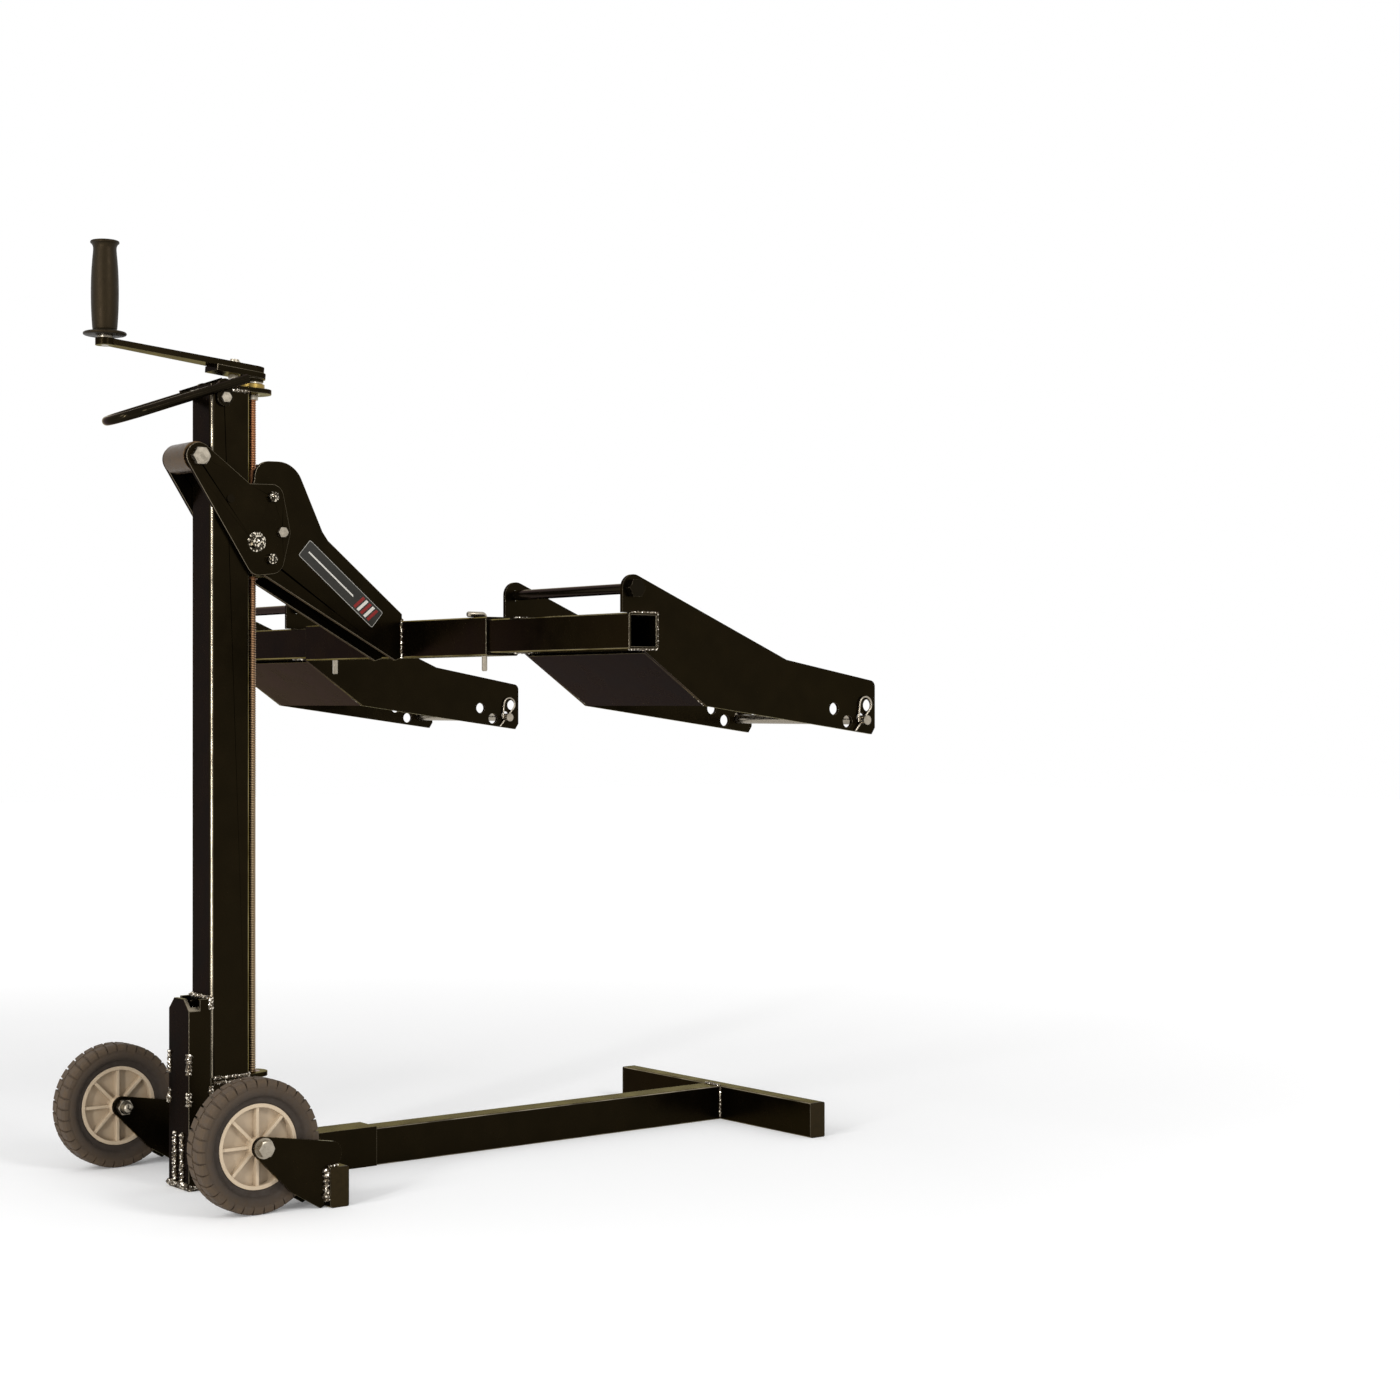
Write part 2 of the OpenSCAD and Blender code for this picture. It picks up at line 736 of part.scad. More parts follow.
// The barrel's half widths, as shares of its largest radius, at shares of its length
grip_profile_shares = [[0.06, 0.86], [0.09, 0.9], [0.25, 0.97], [0.45, 1], [0.65, 0.97], [0.8, 0.9],
    [0.9, 0.84], [0.94, 0.86]];
grip_top_share = 1.05;
grip_lip = 4;

module crank_grip() {
    r = grip_d / 2;
    flange_r = grip_flange_d / 2;
    top_r = r * grip_top_share;
    head_h = grip_pin_d * head_h_share;
    base_z = grip_pin_z + grip_washer_h + run_gap;
    color(rubber)
    translate([grip_x, 0, base_z])
    difference() {
        rotate_extrude()
            polygon(concat([[0, 0], [flange_r - grip_lip, 0], [flange_r, grip_lip / 2],
                [flange_r, grip_lip], [flange_r - grip_lip, grip_lip + overrun]],
                [for (p = grip_profile_shares) [p[1] * r, p[0] * grip_l]],
                [[top_r, grip_l - grip_lip], [top_r, grip_l - grip_lip / 2],
                [top_r - grip_lip / 2, grip_l], [0, grip_l]]));
        translate([0, 0, -overrun]) cylinder(d = grip_pin_d + 2 * bearing_gap, h = grip_l);
        translate([0, 0, grip_l - 3 * head_h])
            cylinder(d = pin_head_share * grip_pin_d + 2 * hole_gap, h = 3 * head_h + overrun);
    }
}

// Carriage

function front_place(share) = [screw_x + share[0] * plate_reach, lift_h + share[1] * roller_rise];
function arm_place(share) = [screw_x + share[0] * arm_reach, lift_h + share[1] * arm_drop];

module carriage2d() {
    roller = [roller_x, roller_z];
    fronts = [for (share = arm_bolt_shares) front_place(share)];
    difference() {
        belt2d(concat(
            [corner(roller, carriage_lobe_r), corner(front_place(heel_shares), carriage_lobe_r)],
            [for (i = [0:len(fronts) - 1]) corner(fronts[i], front_lobe_shares[i] * carriage_lobe_r)],
            [corner(front_place(neck_shares))]));
        translate(roller) circle(d = roller_bolt_d + 2 * hole_gap);
        translate([guide_x, lift_h]) circle(d = guide_bolt_d + 2 * hole_gap);
        for (p = fronts) translate(p) circle(d = arm_bolt_d + 2 * hole_gap);
    }
}

module carriage_plate(side) {
    color(steel) at_side(side) upright(side_in, side_t) carriage2d();
}

module left_carriage_plate() { carriage_plate(1); }
module right_carriage_plate() { carriage_plate(-1); }

// Low friction discs between the carriage plates and the post, each held by a rivet
module side_pads() {
    pad_x = 0;
    pad_z = lift_h + roller_rise / 2;
    color(nylon)
    for (side = [-1, 1])
        at_side(side)
            bar_y(pad_x, pad_z, 2 * carriage_lobe_r, post_half + run_gap, side_in);
}

// A through bolt with a head on the right, a nut on the left and washers on the plates
module through_bolt(x, z, d, half_l, washers) {
    washer_t = washers ? d * washer_t_share : 0;
    bar_y(x, z, d, -half_l - washer_t, half_l + washer_t);
    facing_y(x, -half_l - washer_t, z, -1) nut(d, head_h_share);
    facing_y(x, half_l + washer_t, z, 1) nut(d);
    if (washers)
        for (side = [-1, 1])
            bar_y(x, z, d * wide_washer_share, side > 0 ? half_l : -half_l - washer_t,
                side > 0 ? half_l + washer_t : -half_l);
}

module roller_bolt() {
    color(zinc) through_bolt(roller_x, roller_z, roller_bolt_d, side_out, false);
}

module rear_roller() {
    half_l = side_in - run_gap;
    color(zinc)
    difference() {
        bar_y(roller_x, roller_z, roller_d, -half_l, half_l);
        bar_y(roller_x, roller_z, roller_bolt_d + 2 * bearing_gap, -half_l - overrun, half_l + overrun);
    }
}

module guide_bolt() {
    color(zinc) through_bolt(guide_x, lift_h, guide_bolt_d, side_out, true);
}

// Short bolts, three on each side, that clamp the arm plates to the carriage plates
module arm_bolts() {
    color(zinc)
    for (side = [-1, 1], s = arm_bolt_shares) {
        p = front_place(s);
        at_side(side) {
            bar_y(p[0], p[1], arm_bolt_d, arm_in, side_out);
            facing_y(p[0], side_out, p[1], 1) nut(arm_bolt_d, head_h_share);
            facing_y(p[0], arm_in, p[1], -1) nut(arm_bolt_d);
        }
    }
}

bridge_t = 12;
bridge_rise = 27;               // underside of the upper bridge above the guide bolt
nut_rise = 97;                  // top of the lift nut above the guide bolt
lower_bridge_drop = 45;         // underside of the lower bridge below the guide bolt
lower_bush_drop = 47;
lower_bridge_share = 0.7;       // how far the lower bridge reaches in front of the screw
nut_flange_w = 4;

// A bronze nut hangs its flange under the upper bridge; a bush below keeps the screw straight
module lift_nut() {
    barrel_z = lift_h + bridge_rise;
    bush_top = lift_h - lower_bridge_drop + bridge_t;
    color(bronze)
    translate([screw_x, 0, 0])
    difference() {
        union() {
            translate([0, 0, barrel_z - bridge_t])
                cylinder(d = lift_nut_d + 2 * nut_flange_w, h = bridge_t);
            translate([0, 0, barrel_z]) cylinder(d = lift_nut_d, h = nut_rise - bridge_rise);
            translate([0, 0, lift_h - lower_bush_drop])
                cylinder(d = screw_d + channel_t, h = bush_top - lift_h + lower_bush_drop);
        }
        translate([0, 0, lift_h - 2 * lower_bush_drop])
            cylinder(d = screw_d + 2 * bearing_gap, h = 2 * lower_bush_drop + nut_rise + overrun);
    }
}

module bridge(z, hole_d, x1) {
    x0 = guide_x;
    difference() {
        translate([x0, -arm_in, z]) cube([x1 - x0, 2 * arm_in, bridge_t]);
        translate([screw_x, 0, z - overrun]) cylinder(d = hole_d, h = bridge_t + 2 * overrun);
    }
}

// Cross plates welded between the arm plates, one for the nut and one for the bush
module nut_bridge() {
    color(steel) {
        bridge(lift_h + bridge_rise, lift_nut_d, screw_x + plate_reach);
        bridge(lift_h - lower_bridge_drop, screw_d + channel_t,
            screw_x + plate_reach * lower_bridge_share);
    }
}

// Arm and cross tube

module arm2d() {
    low = [for (share = arm_shares) arm_place(share)];
    difference() {
        belt2d(concat([corner(low[0]), corner(low[1]), corner([tube_x - tube_half, tube_z - tube_half]),
            corner([tube_x - tube_half, low[2][1]]), corner(low[3]), corner(low[4])],
            [for (share = hook_shares) corner(arm_place(share), share[2] * arm_hook_r)],
            [corner(low[5])]));
        for (share = arm_bolt_shares) translate(front_place(share)) circle(d = arm_bolt_d + 2 * hole_gap);
    }
}

module arm_plate(side) {
    color(steel) at_side(side) upright(arm_in, side_t) arm2d();
}

module left_arm_plate() { arm_plate(1); }
module right_arm_plate() { arm_plate(-1); }

// The web closes the top of the arm between its two plates
module arm_web() {
    a = arm_place(arm_shares[3]);
    b = [tube_x - tube_half, arm_place(arm_shares[2])[1]];
    slope = atan2(a[1] - b[1], b[0] - a[0]);
    web_l = norm(b - a) - side_t;
    color(steel)
    translate([a[0], -arm_in, a[1]]) rotate([0, slope, 0]) translate([0, 0, -side_t])
        cube([web_l, 2 * arm_in, side_t]);
}

module lift_tube() {
    color(steel)
    difference() {
        translate([tube_x, lift_tube_l / 2, tube_z]) rotate([90, 0, 0])
            linear_extrude(lift_tube_l) tube2d(lift_tube_w, lift_tube_w, lift_tube_wall, lift_tube_wall);
        for (side = [-1, 1])
            translate([tube_x, side * pin_y, tube_z - lift_tube_w])
                cylinder(d = hitch_pin_d + 2 * hole_gap, h = 2 * lift_tube_w);
    }
}

// Wheel pans

// How far a pan can move in before its inner plate meets the cross tube
pan_in_travel = pan_gap - run_gap;

module pan_tube(side) {
    inner = lift_tube_l / 2 - pan_tube_engaged;
    outer = pan_out + pan_tube_out;
    slot_w = hitch_pin_d + 2 * hole_gap;
    slot_out = pin_y + pan_in_travel + slot_w / 2;
    color(steel)
    at_side(side)
    difference() {
        translate([tube_x, outer, tube_z]) rotate([90, 0, 0])
            linear_extrude(outer - inner) tube2d(pan_tube_w, pan_tube_w, lift_tube_wall, lift_tube_wall);
        translate([tube_x - slot_w / 2, slot_out - slot_l, tube_z - pan_tube_w])
            cube([slot_w, slot_l, 2 * pan_tube_w]);
    }
}

module left_pan_tube() { pan_tube(1); }
module right_pan_tube() { pan_tube(-1); }

function pan_place(share) = [tube_x + share[0] * pan_reach, tube_z + share[1] * pan_drop];
pan_tail = [tube_x, tube_z - pan_tube_half];
pan_low = pan_place(pan_lower_share);
ramp_slope = atan2(pan_tail[1] - pan_low[1], pan_low[0] - pan_tail[0]);
// The ramp starts where its upper face meets the underside of the pan tube
ramp_back = pan_t / sin(ramp_slope);
ramp_start_share = 0.6;

// Side plate of a pan: a lobe for the strap rod, a notch for the tube and holes at the nose
module pan2d() {
    nose_r = pan_lobe_r / 2;
    nose = pan_place(pan_nose_share) - [nose_r, nose_r];
    front = pan_place(pan_front_shares);
    heel = pan_tail + ramp_back * ramp_start_share * [cos(ramp_slope), -sin(ramp_slope)];
    rear_x = rod_x - pan_lobe_r;
    difference() {
        belt2d([corner([rod_x, rod_z], pan_lobe_r), corner([rear_x, tube_z]), corner(heel),
            corner(pan_low),
            corner(front), corner([nose[0] + nose_r, front[1] + nose_r]), corner(nose, nose_r),
            corner(pan_place(pan_upper_share))]);
        translate([rear_x - overrun, tube_z - pan_tube_half])
            square([tube_x + pan_tube_half - rear_x + overrun, pan_tube_w]);
        translate([rod_x, rod_z]) circle(d = rod_d + 2 * hole_gap);
        for (share = nose_hole_shares) translate(pan_place(share)) circle(d = stop_hole_d);
    }
}

module pan_plate(side, y) {
    color(steel) at_side(side) upright(y, pan_t) pan2d();
}

module left_pan_inner_plate() { pan_plate(1, pan_in); }
module left_pan_outer_plate() { pan_plate(1, pan_out - pan_t); }
module right_pan_inner_plate() { pan_plate(-1, pan_in); }
module right_pan_outer_plate() { pan_plate(-1, pan_out - pan_t); }

// The sloping plate under the rear of the tyre
module pan_ramp(side) {
    ramp_l = norm(pan_low - pan_tail) - ramp_back;
    color(steel)
    at_side(side)
        translate([pan_tail[0], pan_in + pan_t, pan_tail[1]]) rotate([0, ramp_slope, 0])
            translate([ramp_back, 0, 0]) cube([ramp_l, pan_w - 2 * pan_t, pan_t]);
}

module left_pan_ramp() { pan_ramp(1); }
module right_pan_ramp() { pan_ramp(-1); }

// A long bolt that the tie-down strap hooks onto
module strap_rod(side) {
    color(zinc)
    at_side(side) {
        bar_y(rod_x, rod_z, rod_d, pan_in - rod_d * nut_h_share, pan_out);
        facing_y(rod_x, pan_out, rod_z, 1) nut(rod_d, head_h_share);
    }
}

module left_strap_rod() { strap_rod(1); }
module right_strap_rod() { strap_rod(-1); }

hitch_pin_out = 20;             // length of a pin under the cross tube

// An L-shaped pin that stands in the tubes with its handle lying on the cross tube
module hitch_pin(side) {
    bend_r = hitch_pin_d;
    top_z = tube_z + tube_half + run_gap + hitch_pin_d / 2;
    tail_l = 3 * bend_r;
    bottom_z = tube_z - tube_half - hitch_pin_out;
    color(zinc)
    at_side(side) translate([tube_x, pin_y, 0]) {
        translate([0, 0, bottom_z]) cylinder(d = hitch_pin_d, h = top_z + bend_r - bottom_z);
        translate([-bend_r, 0, top_z + bend_r]) rotate([90, 0, 0])
            rotate_extrude(angle = 90) translate([bend_r, 0]) circle(d = hitch_pin_d);
        translate([-bend_r, 0, top_z + 2 * bend_r]) rotate([0, -90, 0])
            cylinder(d = hitch_pin_d, h = tail_l);
    }
}

module left_hitch_pin() { hitch_pin(1); }
module right_hitch_pin() { hitch_pin(-1); }

clip_wire_share = 0.2;
clip_bend_share = 0.8;
clip_tilt = 42;                 // the clip leans forward at the top
stop_head_share = 1.8;

// A hairpin of round wire in the XZ plane: one leg goes straight through the pin at the origin, a round
// bend joins it to the second leg, and that leans on the side of the pin
module hairpin(wire, leg_l, bend_r, pin_r) {
    lean = pin_r + wire / 4;
    spread = norm([bend_r, leg_l]);
    turn = 360 - acos((bend_r - lean) / spread) - atan2(leg_l, bend_r);
    foot = [bend_r * (cos(turn) - 1), leg_l + bend_r * sin(turn)];
    translate([0, 0, -leg_l]) cylinder(d = wire, h = 2 * leg_l);
    translate([-bend_r, 0, leg_l]) rotate([90, 0, 0])
        rotate_extrude(angle = turn) translate([bend_r, 0]) circle(d = wire);
    translate([foot[0], 0, foot[1]]) rotate([0, 270 - turn, 0]) rotate([0, 90, 0])
        cylinder(d = wire, h = spread + wire);
}

// The pin in front of the tyre is pushed in from the left, with a flat head there and a hairpin clip on
// its right end. It lies on the bottom of its holes.
module stop_pin(side) {
    hole = pan_place(nose_hole_shares[pin_hole]);
    wire = stop_pin_d * clip_wire_share;
    head_t = stop_pin_d * head_h_share / 2;
    y0 = side > 0 ? pan_in : -pan_out;
    y1 = y0 + pan_w + run_gap;
    color(zinc)
    translate([hole[0], 0, hole[1] - (stop_hole_d - stop_pin_d) / 2 + bearing_gap]) {
        bar_y(0, 0, stop_pin_d, y0 - stop_pin_d, y1 + head_t);
        bar_y(0, 0, stop_pin_d * stop_head_share, y1, y1 + head_t);
        translate([0, y0 - run_gap - wire, 0]) rotate([0, clip_tilt, 0])
            hairpin(wire, stop_pin_d * bolt_tail_share, stop_pin_d * clip_bend_share, stop_pin_d / 2);
    }
}

module left_stop_pin() { stop_pin(1); }
module right_stop_pin() { stop_pin(-1); }

base_crossbar();
crossbar_caps();
base_column();
base_foot();
ledge_plate();
leg_saddle();
leg_clamp_bolt();
post_tube();
top_plate();
thrust_bearing();
foot_bearing();
handle_loop();
handle_bolt();
left_wheel_fork();
right_wheel_fork();
axle_bolts();
axle_nuts();
leg_tube();
front_tee();
tee_caps();
left_tyre();
left_hub();
right_tyre();
right_hub();
lead_screw();
screw_nuts();
crank_hub();
crank_arm();
crank_bolt();
grip_pin();
crank_grip();
left_carriage_plate();
right_carriage_plate();
side_pads();
roller_bolt();
rear_roller();
guide_bolt();
lift_nut();
nut_bridge();
arm_bolts();
left_arm_plate();
right_arm_plate();
arm_web();
lift_tube();
left_pan_tube();
left_pan_inner_plate();
left_pan_outer_plate();
left_pan_ramp();
left_strap_rod();
right_pan_tube();
right_pan_inner_plate();
right_pan_outer_plate();
right_pan_ramp();
right_strap_rod();
left_hitch_pin();
right_hitch_pin();
left_stop_pin();
right_stop_pin();
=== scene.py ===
# %% [markdown]
# # A screw jack on a wheeled T base
# The jack is welded from square steel tube and plate and sprayed with glossy black powder. Its
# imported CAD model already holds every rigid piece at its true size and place. This notebook gives
# each piece its finish, rolls the thread of the screw, treads the tyres, lays the weld beads and
# chamfers the bolts. Places are in metres, with X forward, Y left and Z up. Names that end in
# `_mm` or stand next to `MM` are in millimetres.

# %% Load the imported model
import json
import math
from collections import namedtuple
from types import SimpleNamespace

import bmesh
import bpy
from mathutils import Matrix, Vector


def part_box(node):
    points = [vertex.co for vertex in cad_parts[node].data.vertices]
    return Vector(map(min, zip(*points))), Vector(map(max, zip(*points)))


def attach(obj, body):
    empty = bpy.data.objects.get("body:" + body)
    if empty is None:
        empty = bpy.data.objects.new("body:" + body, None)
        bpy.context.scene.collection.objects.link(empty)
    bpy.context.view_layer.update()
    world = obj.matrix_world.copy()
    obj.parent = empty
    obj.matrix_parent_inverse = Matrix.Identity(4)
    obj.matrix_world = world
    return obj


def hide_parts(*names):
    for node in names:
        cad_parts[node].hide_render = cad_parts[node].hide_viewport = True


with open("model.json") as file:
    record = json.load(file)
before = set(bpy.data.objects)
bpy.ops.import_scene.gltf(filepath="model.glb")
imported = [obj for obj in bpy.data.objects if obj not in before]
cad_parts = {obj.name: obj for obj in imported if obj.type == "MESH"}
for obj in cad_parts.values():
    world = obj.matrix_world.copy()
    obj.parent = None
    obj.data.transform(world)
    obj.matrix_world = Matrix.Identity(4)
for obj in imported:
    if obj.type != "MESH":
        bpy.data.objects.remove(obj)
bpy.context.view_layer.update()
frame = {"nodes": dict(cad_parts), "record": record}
nodes = frame["nodes"]
MM = 0.001

# %% [markdown]
# ## The camera
# The camera stands behind the jack, to its right, at about hip height. Its place, heading and
# focal length were fitted to the straight edges of the tubes, so a render can be laid over the
# picture. The focal length is kept in pixels of a square picture and turned to millimetres here.

# %% Camera
def show(name, data):
    """Puts a new object with this data in the scene."""
    thing = bpy.data.objects.new(name, data)
    bpy.context.scene.collection.objects.link(thing)
    return thing


PICTURE_SIDE_PX = 1400
FOCAL_PX = 2452.91
HEADING_DEG = 51.69          # from +X towards +Y
PITCH_DEG = 0.10
camera_data = bpy.data.cameras.new("studio_camera")
camera_data.sensor_width = 36
camera_data.lens = FOCAL_PX / PICTURE_SIDE_PX * camera_data.sensor_width
camera = show("studio_camera", camera_data)
camera.location = (-1.50948, -2.93051, 0.63124)
camera.rotation_euler = (math.radians(90 + PITCH_DEG), 0, math.radians(HEADING_DEG - 90))
bpy.context.scene.camera = camera
print("lens", round(camera_data.lens, 2), "mm")

# %% [markdown]
# ## Helpers
# Shaders and Geometry Nodes are both trees of nodes, so one function serves both: it adds a node
# and fills its inputs with values or wires. Colours are picked as sRGB hex values, as on a paint
# chart, and shaders count in linear light, so one function turns the first into the second. A
# finish is a Principled shader, and values that are the same all over sit on its own sockets.

# %% Helpers for trees, finishes and meshes
def linear(hex_code):
    """An sRGB hex colour as the linear red, green, blue and alpha that a shader takes."""
    channels = [int(hex_code[i:i + 2], 16) / 255 for i in (1, 3, 5)]
    return [c / 12.92 if c <= 0.04045 else ((c + 0.055) / 1.055) ** 2.4 for c in channels] + [1.0]


def add(tree, kind, inputs=None, **settings):
    """Adds a node. Inputs maps a socket to a value, an output, or a node for its first output."""
    node = tree.nodes.new(kind)
    for name, value in settings.items():
        setattr(node, name, value)
    for key, value in (inputs or {}).items():
        if isinstance(value, bpy.types.Node):
            value = value.outputs[0]
        if isinstance(value, bpy.types.NodeSocket):
            tree.links.new(value, node.inputs[key])
        else:
            node.inputs[key].default_value = value
    return node


def finish(name, **sockets):
    """A new material, its tree and shader, and the output that gives places on the object."""
    material = bpy.data.materials.new(name)
    material.use_nodes = True
    tree = material.node_tree
    shader = tree.nodes["Principled BSDF"]
    for label, value in sockets.items():
        shader.inputs[label.replace("_", " ")].default_value = value
    place = add(tree, "ShaderNodeTexCoord").outputs["Object"]
    print("finish", name)
    return SimpleNamespace(material=material, tree=tree, shader=shader, place=place)


def plain_mesh(name, points, edges=(), faces=()):
    """A mesh from points in metres."""
    mesh = bpy.data.meshes.new(name)
    mesh.from_pydata(points, edges, faces)
    return mesh


# %% [markdown]
# ## Floor, backdrop and light
# The picture was taken on a white sweep. A large pale plane is the floor. The world is white for
# the camera and the reflections, but a little dimmer as a lamp. The sweep also glows a little
# where it is seen, more with the distance from the jack, which hides its horizon and keeps the
# shadow at the wheels.

# %% What is only seen
def seen_directly(tree):
    """One where the camera, a mirror or a glass looks, nothing where a surface takes light."""
    rays = add(tree, "ShaderNodeLightPath").outputs
    seen = add(tree, "ShaderNodeMath", {0: rays["Is Camera Ray"], 1: rays["Is Glossy Ray"]},
            operation="MAXIMUM")
    return add(tree, "ShaderNodeMath", {0: seen, 1: rays["Is Transmission Ray"]},
            operation="MAXIMUM")


# %% Floor
FLOOR_REACH = 12
FLOOR_GLOW = (0.12, 0.5)     # what the sweep adds near the jack and far from it
GLOW_REACH = (1.0, 3.6)      # metres from the post between which it grows

corners = [(x * FLOOR_REACH, y * FLOOR_REACH, 0) for x, y in ((-1, -1), (1, -1), (1, 1), (-1, 1))]
floor_mesh = plain_mesh("studio_floor", corners, (), [(0, 1, 2, 3)])
show("studio_floor", floor_mesh)

sweep = finish("white_sweep", Base_Color=linear("#f4f4f4"), Roughness=0.9,
        Specular_IOR_Level=0.1, Emission_Color=(1, 1, 1, 1))
tree = sweep.tree
reach = add(tree, "ShaderNodeVectorMath", {0: sweep.place}, operation="LENGTH").outputs["Value"]
glow = add(tree, "ShaderNodeMapRange", {
    "Value": reach, "From Min": GLOW_REACH[0], "From Max": GLOW_REACH[1],
    "To Min": FLOOR_GLOW[0], "To Max": FLOOR_GLOW[1]})
lit = add(tree, "ShaderNodeMath", {0: glow, 1: seen_directly(tree)}, operation="MULTIPLY")
tree.links.new(lit.outputs[0], sweep.shader.inputs["Emission Strength"])
floor_mesh.materials.append(sweep.material)

# %% World
WORLD_LIGHT = 0.62
world = bpy.data.worlds.new("white_studio")
world.use_nodes = True
bpy.context.scene.world = world
sky = world.node_tree
sky.nodes.clear()
strength = add(sky, "ShaderNodeMapRange", {"Value": seen_directly(sky), "To Min": WORLD_LIGHT,
        "To Max": 1.0})
back = add(sky, "ShaderNodeBackground", {"Color": (1, 1, 1, 1), "Strength": strength})
add(sky, "ShaderNodeOutputWorld", {"Surface": back})
print("world light", WORLD_LIGHT)

# %% [markdown]
# Two soft boxes and a narrow strip make the long highlights on the rounded corners of the tubes
# and the shadow that grounds the jack. Their power is set so that a colour comes out about as
# bright as it is written.

# %% Soft boxes
def soft_box(name, place, target, width, height, watts):
    """A rectangular lamp that faces its target."""
    lamp = bpy.data.lights.new(name, "AREA")
    lamp.shape = "RECTANGLE"
    lamp.size, lamp.size_y, lamp.energy = width, height, watts
    box = show(name, lamp)
    box.location = place
    box.rotation_mode = "QUATERNION"
    box.rotation_quaternion = (Vector(target) - Vector(place)).to_track_quat("-Z", "Y")
    print(name, watts, "W")


soft_box("key_box", (-3.4, -0.6, 2.6), (0.2, 0, 0.5), 0.5, 1.6, 40)
soft_box("side_box", (0.6, -3.6, 2.4), (0.3, 0, 0.4), 1.0, 1.2, 48)
soft_box("strip_box", (-2.7, -1.5, 0.8), (0, 0, 0.8), 0.14, 1.4, 44)
bpy.context.scene.view_settings.view_transform = "Standard"

# %% [markdown]
# ## Finishes
# Every finish starts from what the real one is. `grained` adds the pattern that no factory avoids:
# a noise, sized in real millimetres, shifts the colour between two tones, the roughness a little,
# and the surface by hundredths of a millimetre. A third colour lies where a mask is high: a darker
# tone, painted shade, or painted glints and highlights, and a painted metallic highlight also
# changes how the shader reflects.

# %% Grained and covered finishes
def grained(name, dark, light, blot_mm, rough, relief_mm, depth_mm, **sockets):
    """A finish with colour between two tones, roughness between two values, and fine relief."""
    surface = finish(name, **sockets)
    tree = surface.tree
    blots, relief = (
        add(tree, "ShaderNodeTexNoise", {"Vector": surface.place, "Scale": 1 / (size_mm * MM),
            "Detail": 3.0}) for size_mm in (blot_mm, relief_mm))
    surface.tones = add(tree, "ShaderNodeMix", {
        "Factor": blots, 6: linear(dark), 7: linear(light)}, data_type="RGBA").outputs[2]
    spread = add(tree, "ShaderNodeMapRange", {"Value": blots, "From Min": 0.3, "From Max": 0.7,
            "To Min": rough[0], "To Max": rough[1]})
    bump = add(tree, "ShaderNodeBump", {"Height": relief, "Strength": 1.0,
            "Distance": depth_mm * MM})
    for output, socket in ((surface.tones, "Base Color"), (spread.outputs[0], "Roughness"),
            (bump.outputs[0], "Normal")):
        tree.links.new(output, surface.shader.inputs[socket])
    return surface


def cover(surface, mask, colour):
    """Lays a third colour over the two tones where a mask is high."""
    over = add(surface.tree, "ShaderNodeMix", {"Factor": mask, 6: surface.tones,
            7: linear(colour)}, data_type="RGBA")
    surface.tree.links.new(over.outputs[2], surface.shader.inputs["Base Color"])


def paint_metallic_highlight(surface, mask, colour):
    """Paints a pale metallic highlight over a coat where a mask is high."""
    cover(surface, mask, colour)
    metallic = surface.shader.inputs["Metallic"]
    share = add(surface.tree, "ShaderNodeMapRange", {"Value": mask,
            "To Min": metallic.default_value})
    surface.tree.links.new(share.outputs[0], metallic)


def spots(surface, size_mm, threshold, edge=0.04):
    """A mask of small spots: the peaks of a noise."""
    peaks = add(surface.tree, "ShaderNodeTexNoise", {
        "Vector": surface.place, "Scale": 1 / (size_mm * MM), "Detail": 1.0})
    return add(surface.tree, "ShaderNodeMapRange", {
        "Value": peaks, "From Min": threshold, "From Max": threshold + edge})


# %% [markdown]
# ### Black powder coat
# Powder coat is a baked plastic skin, sprayed as dust. It flows into a gloss with an orange peel,
# about 2 mm from crest to crest, which breaks up reflections. This one is a warm black with a
# trace of metal flake. At a shallow angle plain plastic would mirror the white room and read as
# grey, so most of the shader is metallic: its Specular Tint darkens and warms just that shallow
# reflection, while the rounded corners still flash. Round bar has the glossiest coat.

# %% Powder coat
COAT = {"Metallic": 0.85, "IOR": 1.25, "Specular_Tint": linear("#b3a655")}
COAT_GRAIN = ("#130f08", "#1c160c", 35, (0.2, 0.3), 2.0, 0.012)
# Warm, nearly black faces with a soft gloss
powder_coat = grained("black_powder_coat", *COAT_GRAIN, **COAT).material
# Sharper highlights along a round bar
bar_coat = grained("powder_coat_on_round_bar", "#100d08", "#1a150d", 30, (0.08, 0.18), 2.0, 0.01,
        Metallic=0.7, IOR=1.3, Specular_Tint=linear("#c4b48a")).material
# A thin pale painted highlight along the edges of plates
painted_edge_highlight = grained("rubbed_plate_edge", "#2b261c", "#857b69", 30, (0.2, 0.34), 2.0, 0.012,
        **COAT).material

# %% [markdown]
# Weld beads wear the same coat, but it pools between the puddles, so they are glossier. Pale
# metallic specks are painted on them as glints.

# %% Coated weld
# Wet looking beads with painted glints as bright specks
weld = grained("coated_weld", "#0d0a06", "#2a2117", 3, (0.05, 0.14), 1.4, 0.12, IOR=1.7,
        Specular_Tint=linear("#ffe9c8"))
# Painted glints: pale metallic specks at the peaks of a noise
paint_metallic_highlight(weld, spots(weld, 3.2, 0.56), "#efe6d6")
weld_coat = weld.material
